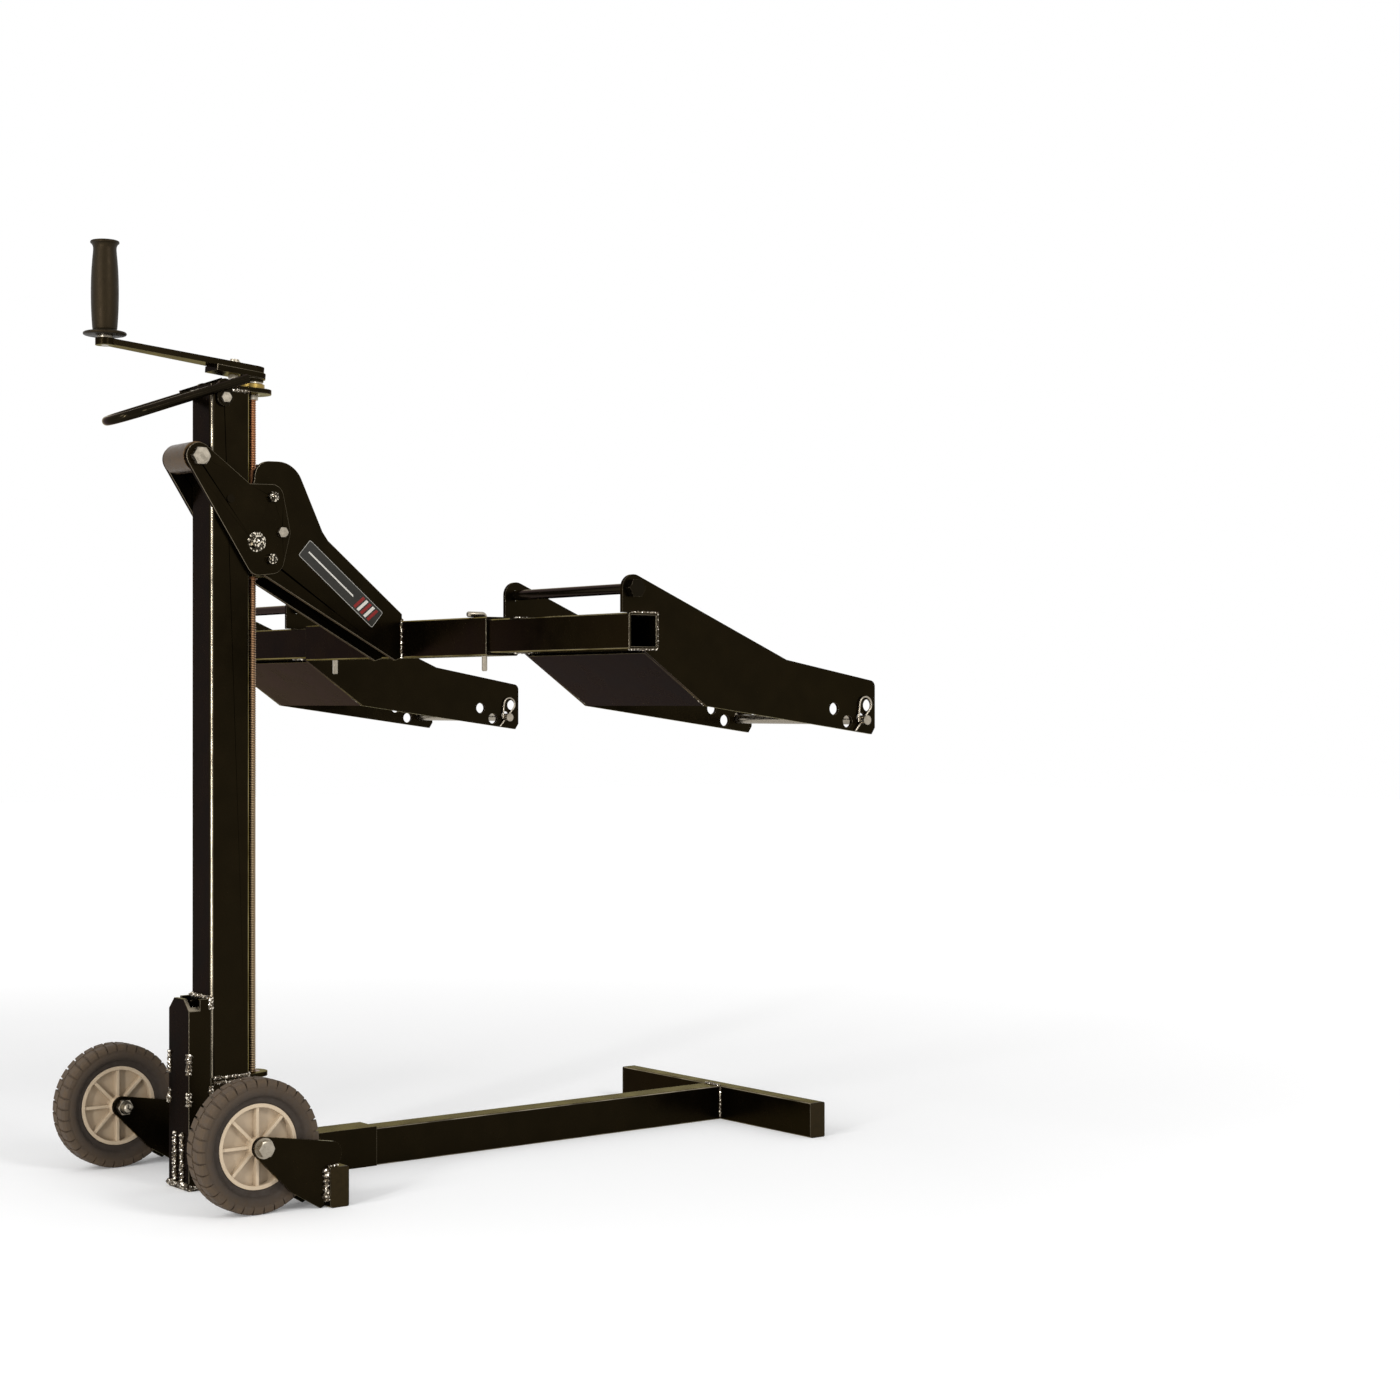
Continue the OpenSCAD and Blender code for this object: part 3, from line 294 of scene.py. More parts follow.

# %% [markdown]
# A pale metallic line is painted along the tubes' rounded corners as a highlight. A tube's faces
# lie square to the axes. So where no part of the normal is near one, the surface is a corner. A
# slow noise leaves the painted highlight patchy.

# %% Worn corners of tubes
# The same coat with pale, patchy painted highlights along the corners
highlit_tube = grained("powder_coat_on_tube", *COAT_GRAIN, **COAT)
tree = highlit_tube.tree
normal = add(tree, "ShaderNodeTexCoord").outputs["Normal"]
facing = add(tree, "ShaderNodeSeparateXYZ", {
    0: add(tree, "ShaderNodeVectorMath", {0: normal}, operation="ABSOLUTE")}).outputs
squarest = add(tree, "ShaderNodeMath", {0: facing[0], 1: facing[1]}, operation="MAXIMUM")
squarest = add(tree, "ShaderNodeMath", {0: squarest, 1: facing[2]}, operation="MAXIMUM")
corner = add(tree, "ShaderNodeMapRange", {"Value": squarest, "From Min": 0.93, "From Max": 0.78})
slow = add(tree, "ShaderNodeTexNoise", {"Vector": highlit_tube.place, "Scale": 1 / (60 * MM),
        "Detail": 3.0})
patchy = add(tree, "ShaderNodeMapRange", {"Value": slow, "From Min": 0.35, "From Max": 0.6,
        "To Min": 0.25, "To Max": 0.9})
painted_corner_highlight = add(tree, "ShaderNodeMath", {0: corner, 1: patchy}, operation="MULTIPLY")
# Pale metallic paint along the corners as a painted highlight
paint_metallic_highlight(highlit_tube, painted_corner_highlight, "#a89d89")
tube_coat_with_painted_highlight = highlit_tube.material

# %% [markdown]
# ### Zinc, steel, bronze and brass
# Bolts, pins and rods have bright zinc, a grey white with a faint straw tint. The bolts by the
# screw have a painted dark reflection, nearly black, with painted glints as bright specks. The
# roller is turned steel, dark brown.
# The screw turns in bronze, and its bearing is yellow passivated. Metals keep the default index of
# refraction.

# %% Metals
zinc_plate, dark_brown_steel, turned_bronze, yellow_zinc = (
    grained(*row, Metallic=1.0).material for row in (
        ("bright_zinc_plate", "#857c6d", "#b3aa9a", 6, (0.2, 0.38), 0.8, 0.01),  # pale shine
        # The roller's steel is a plain dark brown
        ("oiled_turned_steel", "#372b1d", "#66523c", 7, (0.25, 0.45), 0.9, 0.015),  # dull brown
        ("turned_bronze", "#5f3f2b", "#8d6143", 5, (0.28, 0.45), 0.7, 0.01),  # reddish glow
        ("yellow_passivated_zinc", "#6b5626", "#a38a4c", 6, (0.25, 0.4), 0.8, 0.01)))  # straw glint
# Painted dark reflection, nearly black, with painted glints as bright specks
dark_glint_zinc = grained("oily_zinc_plate", "#14100b", "#4d463a", 3, (0.12, 0.3), 2.5, 0.15, Metallic=1.0)
# Painted glints: pale specks at the peaks of a noise
cover(dark_glint_zinc, spots(dark_glint_zinc, 3.0, 0.53), "#e6dcc8")
dark_glint_zinc_plate = dark_glint_zinc.material

# %% [markdown]
# ### Oiled screw
# The thread is rolled. The distance from the screw's axis tells crest from root, so it drives the
# colour: the crests are pale and the roots dark. The crests are copper near the top, where the nut
# works most, and straw lower down.

# %% Oiled screw
def from_line(surface, point, counts):
    """The distance from a line through a point. Counts is one for the axes across the line."""
    centred = add(surface.tree, "ShaderNodeMapping", {
        "Vector": surface.place, "Location": [-p * c for p, c in zip(point, counts)],
        "Scale": counts})
    return add(surface.tree, "ShaderNodeVectorMath", {0: centred},
            operation="LENGTH").outputs["Value"]


screw_low, screw_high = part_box("lead_screw")
screw_axis = (screw_low + screw_high) / 2
SCREW_R = (screw_high.x - screw_low.x) / 2
THREAD_DEPTH = 1.3 * MM
STRAW_TO_COPPER = (0.5, 0.95)    # metres above the floor

# Copper and straw rings with dark gaps between them
oiled = finish("oiled_rolled_thread", Roughness=0.3, Metallic=1.0)
tree = oiled.tree
crest = add(tree, "ShaderNodeMapRange", {
    "Value": from_line(oiled, screw_axis, (1, 1, 0)), "From Min": SCREW_R - THREAD_DEPTH,
    "From Max": SCREW_R})
height = add(tree, "ShaderNodeSeparateXYZ", {0: oiled.place}).outputs[2]
used = add(tree, "ShaderNodeMapRange", {"Value": height, "From Min": STRAW_TO_COPPER[0],
        "From Max": STRAW_TO_COPPER[1]})
crest_tone = add(tree, "ShaderNodeMix", {"Factor": used, 6: linear("#b09a78"),
        7: linear("#bd8158")}, data_type="RGBA").outputs[2]
copper = add(tree, "ShaderNodeMix", {"Factor": crest, 6: linear("#2c1a10"), 7: crest_tone},
        data_type="RGBA").outputs[2]
tree.links.new(copper, oiled.shader.inputs["Base Color"])
oiled_thread = oiled.material

# %% [markdown]
# ### Tyres and hubs
# The tyres are solid rubber. They are darker towards the rim and paler on the tread, so the
# distance from the axle drives the colour, and both wheels share one axle line. The hubs are beige
# polypropylene with painted shade in the pockets between their ribs: the depth from the wheel's
# middle plane drives that.

# %% Tyres and hubs
wheel_low, wheel_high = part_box("left_tyre")
axle = (wheel_low + wheel_high) / 2
RIM_DARK_MM = (62, 80)               # from the axle: fully darker, and not darker at all
POCKET_MM = 9                    # how far the painted shade reaches from the middle plane

# Dull brown grey, paler on the tread and darker by the rim
rubber = grained("dusty_tyre_rubber", "#32261a", "#574632", 9, (0.7, 0.9), 1.2, 0.05)
# Darker towards the rim, paler on the tread
darker_by_rim = add(rubber.tree, "ShaderNodeMapRange", {
    "Value": from_line(rubber, axle, (1, 0, 1)), "From Min": RIM_DARK_MM[0] * MM,
    "From Max": RIM_DARK_MM[1] * MM, "To Min": 1.0, "To Max": 0.0})
cover(rubber, darker_by_rim, "#2a2016")
tyre_rubber = rubber.material

# Beige with a satin sheen, with painted shade in the pockets
hub = grained("moulded_polypropylene", "#b8a489", "#c9b69b", 14, (0.34, 0.48), 1.5, 0.01)
tree = hub.tree
sideways = add(tree, "ShaderNodeSeparateXYZ", {0: hub.place}).outputs[1]
either_side = add(tree, "ShaderNodeMath", {0: sideways}, operation="ABSOLUTE")
depth = add(tree, "ShaderNodeMath", {0: either_side, 1: axle.y}, operation="SUBTRACT")
depth = add(tree, "ShaderNodeMath", {0: depth}, operation="ABSOLUTE")
# Painted shade, deepest on the middle plane at the floor of the pockets
painted_pocket_shade = add(tree, "ShaderNodeMapRange", {"Value": depth, "From Max": POCKET_MM * MM,
        "To Min": 0.3, "To Max": 0.0})
cover(hub, painted_pocket_shade, "#6f5c48")
hub_plastic = hub.material

# %% [markdown]
# ### Grip, pads, caps and label
# The grip is a soft black rubber, cleaner than the tyres. The tubes end in moulded black caps,
# the nylon pads are the colour of candle wax, and the label is printed on thin vinyl.

# %% Grip, pads, caps and label
# Black with a soft sheen
grip_rubber = grained("soft_grip_rubber", "#0b0905", "#171309", 8, (0.42, 0.56), 0.9, 0.02,
        IOR=1.3, Specular_Tint=linear("#ffdcb0")).material
# Pale and waxy
pad_nylon = grained("natural_nylon", "#c9c3b3", "#dcd7c9", 10, (0.4, 0.5), 1.5, 0.01).material
# Black, duller than the coat
cap_plastic = grained("moulded_black_cap", "#1a150a", "#292112", 6, (0.42, 0.58), 0.7, 0.02,
        IOR=1.2, Specular_Tint=linear("#ffd8a0")).material
# Flat printed colours
label_vinyls = [
    grained("vinyl_" + tone, dark, light, 12, (0.3, 0.42), 3.0, 0.004, IOR=1.4).material
    for tone, dark, light in (("pale", "#8d8a83", "#a3a098"), ("dark", "#16150f", "#211f18"),
        ("red", "#6d120e", "#7f1a14"), ("white", "#b9b5ac", "#cac6bd"))]

# %% [markdown]
# ## Dressing the CAD nodes
# A CAD mesh has knife edges, and real steel has none: sheared plate has about half a millimetre of
# edge radius, and that is what catches the light. The mesh itself may not change. The mesh itself
# is left as it is, so modifiers do it: a small tree joins the loose triangles and shades them
# smooth, a Bevel rounds each sharp edge and can paint a pale highlight on it, and Weighted Normal
# keeps flat faces flat.

# %% Trees with named inputs
SOCKET_KINDS = {float: "Float", int: "Int", Vector: "Vector", bpy.types.Material: "Material",
        bpy.types.Collection: "Collection", bpy.types.Object: "Object"}


def new_tree(name, **inputs):
    """A Geometry Nodes tree with a geometry in and out, and inputs with their default values."""
    tree = bpy.data.node_groups.new(name, "GeometryNodeTree")
    sockets = tree.interface
    sockets.new_socket("Geometry", in_out="INPUT", socket_type="NodeSocketGeometry")
    for label, value in inputs.items():
        kind = "NodeSocket" + SOCKET_KINDS[type(value)]
        sockets.new_socket(label, in_out="INPUT", socket_type=kind).default_value = value
    sockets.new_socket("Geometry", in_out="OUTPUT", socket_type="NodeSocketGeometry")
    print("tree", name, "takes", ", ".join(inputs))
    return tree, add(tree, "NodeGroupInput").outputs


tree, given = new_tree("join_and_smooth", Reach=0.00001)
joined = add(tree, "GeometryNodeMergeByDistance", {"Geometry": given["Geometry"],
        "Distance": given["Reach"]})
smooth = add(tree, "GeometryNodeSetShadeSmooth", {0: joined})
add(tree, "NodeGroupOutput", {0: smooth})
join_and_smooth = tree

# %% Dress one node
BEVEL_FROM_DEG = 35


def dress(node, material, edge_mm, edge_material):
    """Gives a CAD node a finish and rounded edges, with a painted highlight on them if an edge
    material is given.
    """
    node.data.materials.clear()
    node.data.materials.append(material)
    node.modifiers.new("join", "NODES").node_group = join_and_smooth
    bevel = node.modifiers.new("edge", "BEVEL")
    bevel.width = edge_mm * MM
    bevel.segments = 2
    bevel.limit_method = "ANGLE"
    bevel.angle_limit = math.radians(BEVEL_FROM_DEG)
    bevel.harden_normals = True
    if edge_material:
        node.data.materials.append(edge_material)
        bevel.material = 1
    node.modifiers.new("flat_faces", "WEIGHTED_NORMAL").weight = 100


# %% [markdown]
# The record says which material slot each node has. Most nodes take their slot's finish. Tubes,
# round bars, plastic caps and the roller have one of their own.

# %% Dress the nodes
SLOT_FINISH = {                  # the finish, and the radius of an edge in millimetres
    "black_steel": (powder_coat, 0.6), "zinc_steel": (zinc_plate, 0.5),
    "screw_steel": (oiled_thread, 0.3), "bronze_bush": (turned_bronze, 0.4),
    "brass_bearing": (yellow_zinc, 0.4), "tyre_rubber": (tyre_rubber, 0.8),
    "hub_plastic": (hub_plastic, 0.6), "grip_rubber": (grip_rubber, 0.6),
    "pad_nylon": (pad_nylon, 0.3)}
OWN_FINISH = {"rear_roller": dark_brown_steel, "crossbar_caps": cap_plastic, "tee_caps": cap_plastic}
for name in ("post_tube", "base_crossbar", "base_column", "leg_tube", "front_tee", "leg_saddle",
        "lift_tube", "left_pan_tube", "right_pan_tube"):
    OWN_FINISH[name] = tube_coat_with_painted_highlight
for name in ("handle_loop", "left_strap_rod", "right_strap_rod"):
    OWN_FINISH[name] = bar_coat

for part in frame["record"]["subparts"]:
    slot_material, edge_mm = SLOT_FINISH[part["material_slot"]]
    material = OWN_FINISH.get(part["node"], slot_material)
    # Nodes in the black coat, but not the caps, get a painted highlight on their bevelled edges
    coated = slot_material is powder_coat and material is not cap_plastic
    dress(nodes[part["node"]], material, edge_mm, painted_edge_highlight if coated else None)

# %% [markdown]
# ## Running a tree
# The pieces that Geometry Nodes make all go the same way. A tree runs as a modifier on a small
# seed mesh, the result is copied to a plain mesh, the seed goes, and the piece rides on its body.
# A modifier's input is set by its socket's identifier, because names may repeat.

# %% From a tree to a piece
def hold(mesh, body, slot, *replaced):
    """Puts a finished mesh in the scene as a piece that rides on a body."""
    piece = show(mesh.name, mesh)
    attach(piece, body)
    if replaced:
        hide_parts(*replaced)
    print(mesh.name, len(mesh.polygons), "faces on", body)


def grow(tree, seed_mesh, body, slot, *replaced, **inputs):
    """Runs a tree on a seed mesh and holds what it makes."""
    seed = show("seed", seed_mesh)
    modifier = seed.modifiers.new("grow", "NODES")
    modifier.node_group = tree
    for item in tree.interface.items_tree:
        if item.in_out == "INPUT" and item.name in inputs:
            modifier[item.identifier] = inputs[item.name]
    depsgraph = bpy.context.evaluated_depsgraph_get()
    grown = seed.evaluated_get(depsgraph)
    mesh = bpy.data.meshes.new_from_object(grown, depsgraph=depsgraph)
    mesh.name = seed_mesh.name
    bpy.data.objects.remove(seed)
    hold(mesh, body, slot, *replaced)


def keep(tree, geometry, material, smooth=False):
    """Ends a tree with real faces in one finish, and gives it back."""
    if smooth:
        geometry = add(tree, "GeometryNodeSetShadeSmooth", {0: geometry})
    real = add(tree, "GeometryNodeRealizeInstances", {0: geometry})
    painted = add(tree, "GeometryNodeSetMaterial", {"Geometry": real, "Material": material})
    add(tree, "NodeGroupOutput", {0: painted})
    return tree


# %% [markdown]
# ## The lead screw
# The screw is cold rolled with a single thread: one turn of the crank lifts the arm by a lead of
# 3.175 mm, an eighth of an inch. The solid model keeps a plain rod. Here a ridge is swept along a
# helix round a smooth core. It has about 300 turns, so 14 points a turn keep it light. Seen from
# above it climbs anticlockwise, which is a right hand thread.

# %% Thread tree
LEAD = 3.175 * MM
tree, given = new_tree("rolled_thread", Length=1.0, Radius=0.006, Depth=0.0009, Lead=LEAD,
        Foot=Vector((0, 0, 0)), Finish=oiled_thread)
turns = add(tree, "ShaderNodeMath", {0: given["Length"], 1: given["Lead"]}, operation="DIVIDE")
core_r = add(tree, "ShaderNodeMath", {0: given["Radius"], 1: given["Depth"]},
        operation="SUBTRACT")
helix = add(tree, "GeometryNodeCurveSpiral", {
    "Resolution": 14, "Rotations": turns, "Start Radius": core_r, "End Radius": core_r,
    "Height": given["Length"]})
upright_helix = add(tree, "GeometryNodeSetCurveNormal", {0: helix}, mode="Z_UP")
ridge = add(tree, "GeometryNodeCurvePrimitiveCircle", {"Resolution": 6, "Radius": given["Depth"]})
thread = add(tree, "GeometryNodeCurveToMesh", {0: upright_helix, 1: ridge, "Fill Caps": True})
top = add(tree, "ShaderNodeCombineXYZ", {2: given["Length"]})
axis_line = add(tree, "GeometryNodeCurvePrimitiveLine", {"End": top})
ring = add(tree, "GeometryNodeCurvePrimitiveCircle", {"Resolution": 24, "Radius": core_r})
core = add(tree, "GeometryNodeCurveToMesh", {0: axis_line, 1: ring, "Fill Caps": True})
both = add(tree, "GeometryNodeJoinGeometry")
for shape in (thread, core):
    tree.links.new(shape.outputs[0], both.inputs[0])
moved = add(tree, "GeometryNodeTransform", {0: both, 1: given["Foot"]})
rolled_thread = keep(tree, moved, given["Finish"], smooth=True)

# %% Roll the screw
grow(rolled_thread, plain_mesh("rolled_screw", [(0, 0, 0)]), "screw", "screw_steel", "lead_screw",
     Length=screw_high.z - screw_low.z, Radius=SCREW_R,
     Foot=Vector((screw_axis.x, 0, screw_low.z)))

# %% [markdown]
# ## Weld beads
# Every joint of the frame is welded by hand: a bead is a row of small frozen puddles, about 3 mm
# apart, which sparkle under the coat. The tree sweeps a circle along lines of edges, one for each
# bead. A sine swells it for the puddles, a noise for the unsteady hand, and a finer noise nudges
# the surface for spatter.

# %% Bead tree
HAND_MM, SPATTER_MM = 7, 4
STEPS_A_PUDDLE = 4
tree, given = new_tree("lumpy_bead", Bead=0.003, Puddle=0.0028, Unrest=0.7, Finish=weld_coat)
line = add(tree, "GeometryNodeMeshToCurve", {0: given["Geometry"]})
step = add(tree, "ShaderNodeMath", {0: given["Puddle"], 1: float(STEPS_A_PUDDLE)},
        operation="DIVIDE")
fine_line = add(tree, "GeometryNodeResampleCurve", {0: line, "Length": step}, mode="LENGTH")
way = add(tree, "GeometryNodeSplineParameter").outputs["Length"]
phase = add(tree, "ShaderNodeMath", {0: way, 1: given["Puddle"]}, operation="DIVIDE")
turn = add(tree, "ShaderNodeMath", {0: phase, 1: math.tau}, operation="MULTIPLY")
wave = add(tree, "ShaderNodeMath", {0: turn}, operation="SINE")
ripple = add(tree, "ShaderNodeMath", {0: wave, 1: 0.14, 2: 0.86}, operation="MULTIPLY_ADD")
hand = add(tree, "ShaderNodeTexNoise", {"Scale": 1 / (HAND_MM * MM), "Detail": 2.0})
sway = add(tree, "ShaderNodeMath", {0: hand, 1: 0.5}, operation="SUBTRACT")
girth = add(tree, "ShaderNodeMath", {0: sway, 1: given["Unrest"], 2: ripple},
        operation="MULTIPLY_ADD")
section = add(tree, "GeometryNodeCurvePrimitiveCircle", {"Resolution": 8,
        "Radius": given["Bead"]})
swept = add(tree, "GeometryNodeCurveToMesh", {0: fine_line, 1: section, "Scale": girth,
        "Fill Caps": True})
spatter = add(tree, "ShaderNodeTexNoise", {"Scale": 1 / (SPATTER_MM * MM), "Detail": 1.0})
nudge = add(tree, "ShaderNodeVectorMath", {0: spatter.outputs[1], 1: (0.5, 0.5, 0.5)},
        operation="SUBTRACT")
nudge = add(tree, "ShaderNodeVectorMath", {0: nudge, "Scale": given["Bead"]}, operation="SCALE")
lumps = add(tree, "GeometryNodeSetPosition", {"Geometry": swept, "Offset": nudge})
lumpy_bead = keep(tree, lumps, given["Finish"], smooth=True)

# %% Lay beads
def lay_beads(name, lines, body, **sizes):
    """One seed mesh of separate lines in millimetres, grown into beads."""
    points, edges = [], []
    for path in lines:
        first = len(points)
        points += [tuple(v * MM for v in point) for point in path]
        edges += [(i, i + 1) for i in range(first, len(points) - 1)]
    grow(lumpy_bead, plain_mesh(name, points, edges), body, "black_steel", **sizes)


# %% [markdown]
# The beads' places come from the boxes of the tubes and plates that they join, in millimetres. A
# bead stops a little short of a corner, or runs a little past it, as the welder's hand does.

# %% Boxes and lines
Box = namedtuple("Box", "back front right left bottom top")


def box_of(name):
    """A node's box in millimetres."""
    low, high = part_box(name)
    return Box(*(v / MM for pair in zip(low, high) for v in pair))


def across(x, box, z, short):
    """A line between the sides of a box, short of both."""
    return [(x, box.right + short, z), (x, box.left - short, z)]


def lengthwise(x0, x1, y, z):
    return [(x0, y, z), (x1, y, z)]


def upright(x, y, z0, z1):
    return [(x, y, z0), (x, y, z1)]


def both_sides(*paths):
    """Each path, and the same path on the other side of the jack."""
    return [way for path in paths for way in (path, [(x, -y, z) for x, y, z in path])]


# %% Boxes of separate solids
def solids_of(name):
    """The boxes of the separate solids in a CAD node, as (low, high) corners in metres."""
    copy = bmesh.new()
    copy.from_mesh(nodes[name].data)
    bmesh.ops.remove_doubles(copy, verts=copy.verts, dist=0.00001)
    left, boxes = set(copy.verts), []
    while left:
        front = [left.pop()]
        found = list(front)
        while front:
            for vert in [v for edge in front.pop().link_edges for v in edge.verts]:
                if vert in left:
                    left.remove(vert)
                    front.append(vert)
                    found.append(vert)
        boxes.append(tuple(Vector(pick(v.co[i] for v in found) for i in range(3))
                for pick in (min, max)))
    copy.free()
    return sorted(boxes, key=lambda box: tuple(box[0]))


# %% Beads of the base
post, column, foot = box_of("post_tube"), box_of("base_column"), box_of("base_foot")
crossbar, saddle, ledge = box_of("base_crossbar"), box_of("leg_saddle"), box_of("ledge_plate")

base_beads = [
    across(post.front, post, post.bottom, 4),
    across(saddle.back, saddle, crossbar.top + 0.8, 3),
    across(foot.front, foot, crossbar.top, 2),
    across(post.back, post, post.top, 3),
    *both_sides(
        lengthwise(post.back + 3, post.front - 2, post.right, post.bottom),
        lengthwise(post.back + 3, foot.front - 6, post.right, ledge.bottom),
        lengthwise(post.back + 3, post.front - 2, post.right, post.top),
        upright(foot.front, foot.right, 3, crossbar.top - 1),
        upright(saddle.back, saddle.right, 3, crossbar.top - 1))]
heavy_beads = [
    across(column.back, column, 6, 0),
    across(post.back, post, column.top, 2),
    across(foot.front, foot, ledge.bottom - 2, 2),
    *both_sides(
        upright(column.front, column.right, 6, foot.top - 3),
        upright(post.back, post.right + 1, column.top - 14, column.top + 2),
        lengthwise(column.back, column.front, column.right, 5),
        upright(column.back, -10, 10, 74),
        upright(column.back + 1, column.right + 2, 110, 128),
        upright(column.back + 1, column.right + 2, 150, 178))]
fork_beads = []
for fork in ("left_wheel_fork", "right_wheel_fork"):
    for plate in solids_of(fork):
        for y in (corner.y / MM for corner in plate):
            fork_beads.append(upright(crossbar.back - 1, y, 8, crossbar.top - 2))
            base_beads.append(lengthwise(crossbar.back, crossbar.back + 14, y, crossbar.top))

lay_beads("base_weld_beads", base_beads, "base")
lay_beads("base_heavy_welds", heavy_beads, "base", Bead=4.6 * MM, Puddle=5 * MM, Unrest=1.1)
lay_beads("fork_welds", fork_beads, "base", Bead=7 * MM, Puddle=6 * MM, Unrest=0.9)

# %% Beads of the leg and the arm
tee, leg = box_of("front_tee"), box_of("leg_tube")
leg_beads = [across(tee.back, leg, leg.top - 0.5, 2)]
leg_beads += [upright(tee.back, y, 3, leg.top - 2) for y in (leg.right, leg.left)]
lay_beads("leg_weld_beads", leg_beads, "leg")

FINE_BEAD = 2.2 * MM
lift, arm = box_of("lift_tube"), box_of("left_arm_plate")
arm_beads = both_sides(
    upright(lift.back - 1, arm.right + 3, lift.bottom + 1, lift.top - 1),
    upright(lift.back - 1, arm.left + 0.4, lift.bottom - 1, lift.top + 2),
    [(lift.back + 1, y, lift.top + 1) for y in (arm.right + 1, arm.left)])
lay_beads("carriage_weld_beads", arm_beads, "carriage", Bead=FINE_BEAD)

# %% [markdown]
# A pan's tube is welded to both of its side plates, but not on the face of the inner plate that
# meets the cross tube when the pan is pushed in. Its ramp is held by three short tacks a side.

# %% Beads of the pans
TACKS, TACK_SHARE, TACK_INSET = (0.1, 0.45, 0.8), 0.17, 0.8


def pan_beads(side):
    """The beads round a pan's tube at its side plates, and the tacks of its ramp."""
    bar, ramp = box_of(side + "_pan_tube"), box_of(side + "_pan_ramp")
    inner, outer = box_of(side + "_pan_inner_plate"), box_of(side + "_pan_outer_plate")
    clear_of_lift_tube = max(inner.right, inner.left, key=abs)
    lines = [[(bar.back + 4, y, bar.top), (bar.front - 1, y, bar.top),
            (bar.front, y, bar.top - 1), (bar.front, y, bar.bottom + 1),
            (bar.front - 1, y, bar.bottom), (bar.back + 6, y, bar.bottom)]
            for y in (clear_of_lift_tube, outer.right, outer.left)]
    for y in (ramp.right + TACK_INSET, ramp.left - TACK_INSET):
        head, toe = Vector((ramp.back, y, ramp.top)), Vector((ramp.front, y, ramp.bottom))
        lines += [[head.lerp(toe, share), head.lerp(toe, share + TACK_SHARE)] for share in TACKS]
    return lines


for side in ("left", "right"):
    lay_beads(side + "_pan_weld_beads", pan_beads(side), side + "_pan", Bead=FINE_BEAD)

# %% [markdown]
# ## Bolts, nuts and washers
# A real hex head is turned before its hexagon is cut, so each flat ends in a curved chamfer. Four
# blanks are made once: head, nut, shank and washer, one unit across and one unit long. A tree puts
# one on every point of a seed mesh, and the points carry which blank, how large and which way
# round. The pieces stand where the plain bolts of the solid model stand.

# %% Blanks from rings
ROUND_STEPS = 36
BLANK_SHARP_DEG = 40


def ring_solid(name, rings):
    """A closed solid from rings of (height, radius), each a number or a function of the angle."""
    points, faces = [], []
    for ring in rings:
        for i in range(ROUND_STEPS):
            angle = math.tau * i / ROUND_STEPS
            height, radius = (v(angle) if callable(v) else v for v in ring)
            points.append((radius * math.cos(angle), radius * math.sin(angle), height))
    for k in range(len(rings) - 1):
        for i in range(ROUND_STEPS):
            a, b = k * ROUND_STEPS + i, k * ROUND_STEPS + (i + 1) % ROUND_STEPS
            faces.append((a, b, b + ROUND_STEPS, a + ROUND_STEPS))
    faces.append(tuple(reversed(range(ROUND_STEPS))))
    faces.append(tuple(range((len(rings) - 1) * ROUND_STEPS, len(rings) * ROUND_STEPS)))
    mesh = plain_mesh(name, points, (), faces)
    mesh.shade_smooth()
    mesh.set_sharp_from_angle(angle=math.radians(BLANK_SHARP_DEG))
    return mesh


def hexagon(angle):
    """The radius of a hexagon that is one unit across its flats and has a corner on X."""
    return 0.5 / math.cos((angle % (math.pi / 3)) - math.pi / 6)


def chamfer(at, fall):
    """The height of the chamfer's edge: it falls from the middle of a flat to the corners."""
    return lambda angle: at + fall * (hexagon(angle) - 0.5) / (hexagon(0) - 0.5)


# %% The four blanks
blanks = bpy.data.collections.new("hardware_blanks")
for label, rings in {
        "0_head": [(0, hexagon), (chamfer(0.97, -0.12), hexagon), (1.0, 0.47)],
        "1_nut": [(0, 0.48), (chamfer(0.02, 0.1), hexagon), (chamfer(0.98, -0.1), hexagon),
        (1.0, 0.48), (1.0, 0.3), (0.9, 0.29)],
        "2_shank": [(0, 0.44), (0.03, 0.5), (0.97, 0.5), (1.0, 0.44)],
        "3_washer": [(0, 0.49), (0.2, 0.5), (0.8, 0.5), (1.0, 0.49)]}.items():
    blanks.objects.link(bpy.data.objects.new(label, ring_solid(label, rings)))
HEAD, NUT, SHANK, WASHER = range(4)

# %% Hardware tree
tree, given = new_tree("hardware", Blanks=blanks, Finish=zinc_plate)
shelf = add(tree, "GeometryNodeCollectionInfo", {
    "Collection": given["Blanks"], "Separate Children": True, "Reset Children": True})
kind, size, turn = (
    add(tree, "GeometryNodeInputNamedAttribute", {"Name": label}, data_type=data_type)
    for label, data_type in (("kind", "INT"), ("size", "FLOAT_VECTOR"), ("turn", "FLOAT_VECTOR")))
placed = add(tree, "GeometryNodeInstanceOnPoints", {
    "Points": given["Geometry"], "Instance": shelf, "Pick Instance": True,
    "Instance Index": kind, "Rotation": turn, "Scale": size})
hardware = keep(tree, placed, given["Finish"])

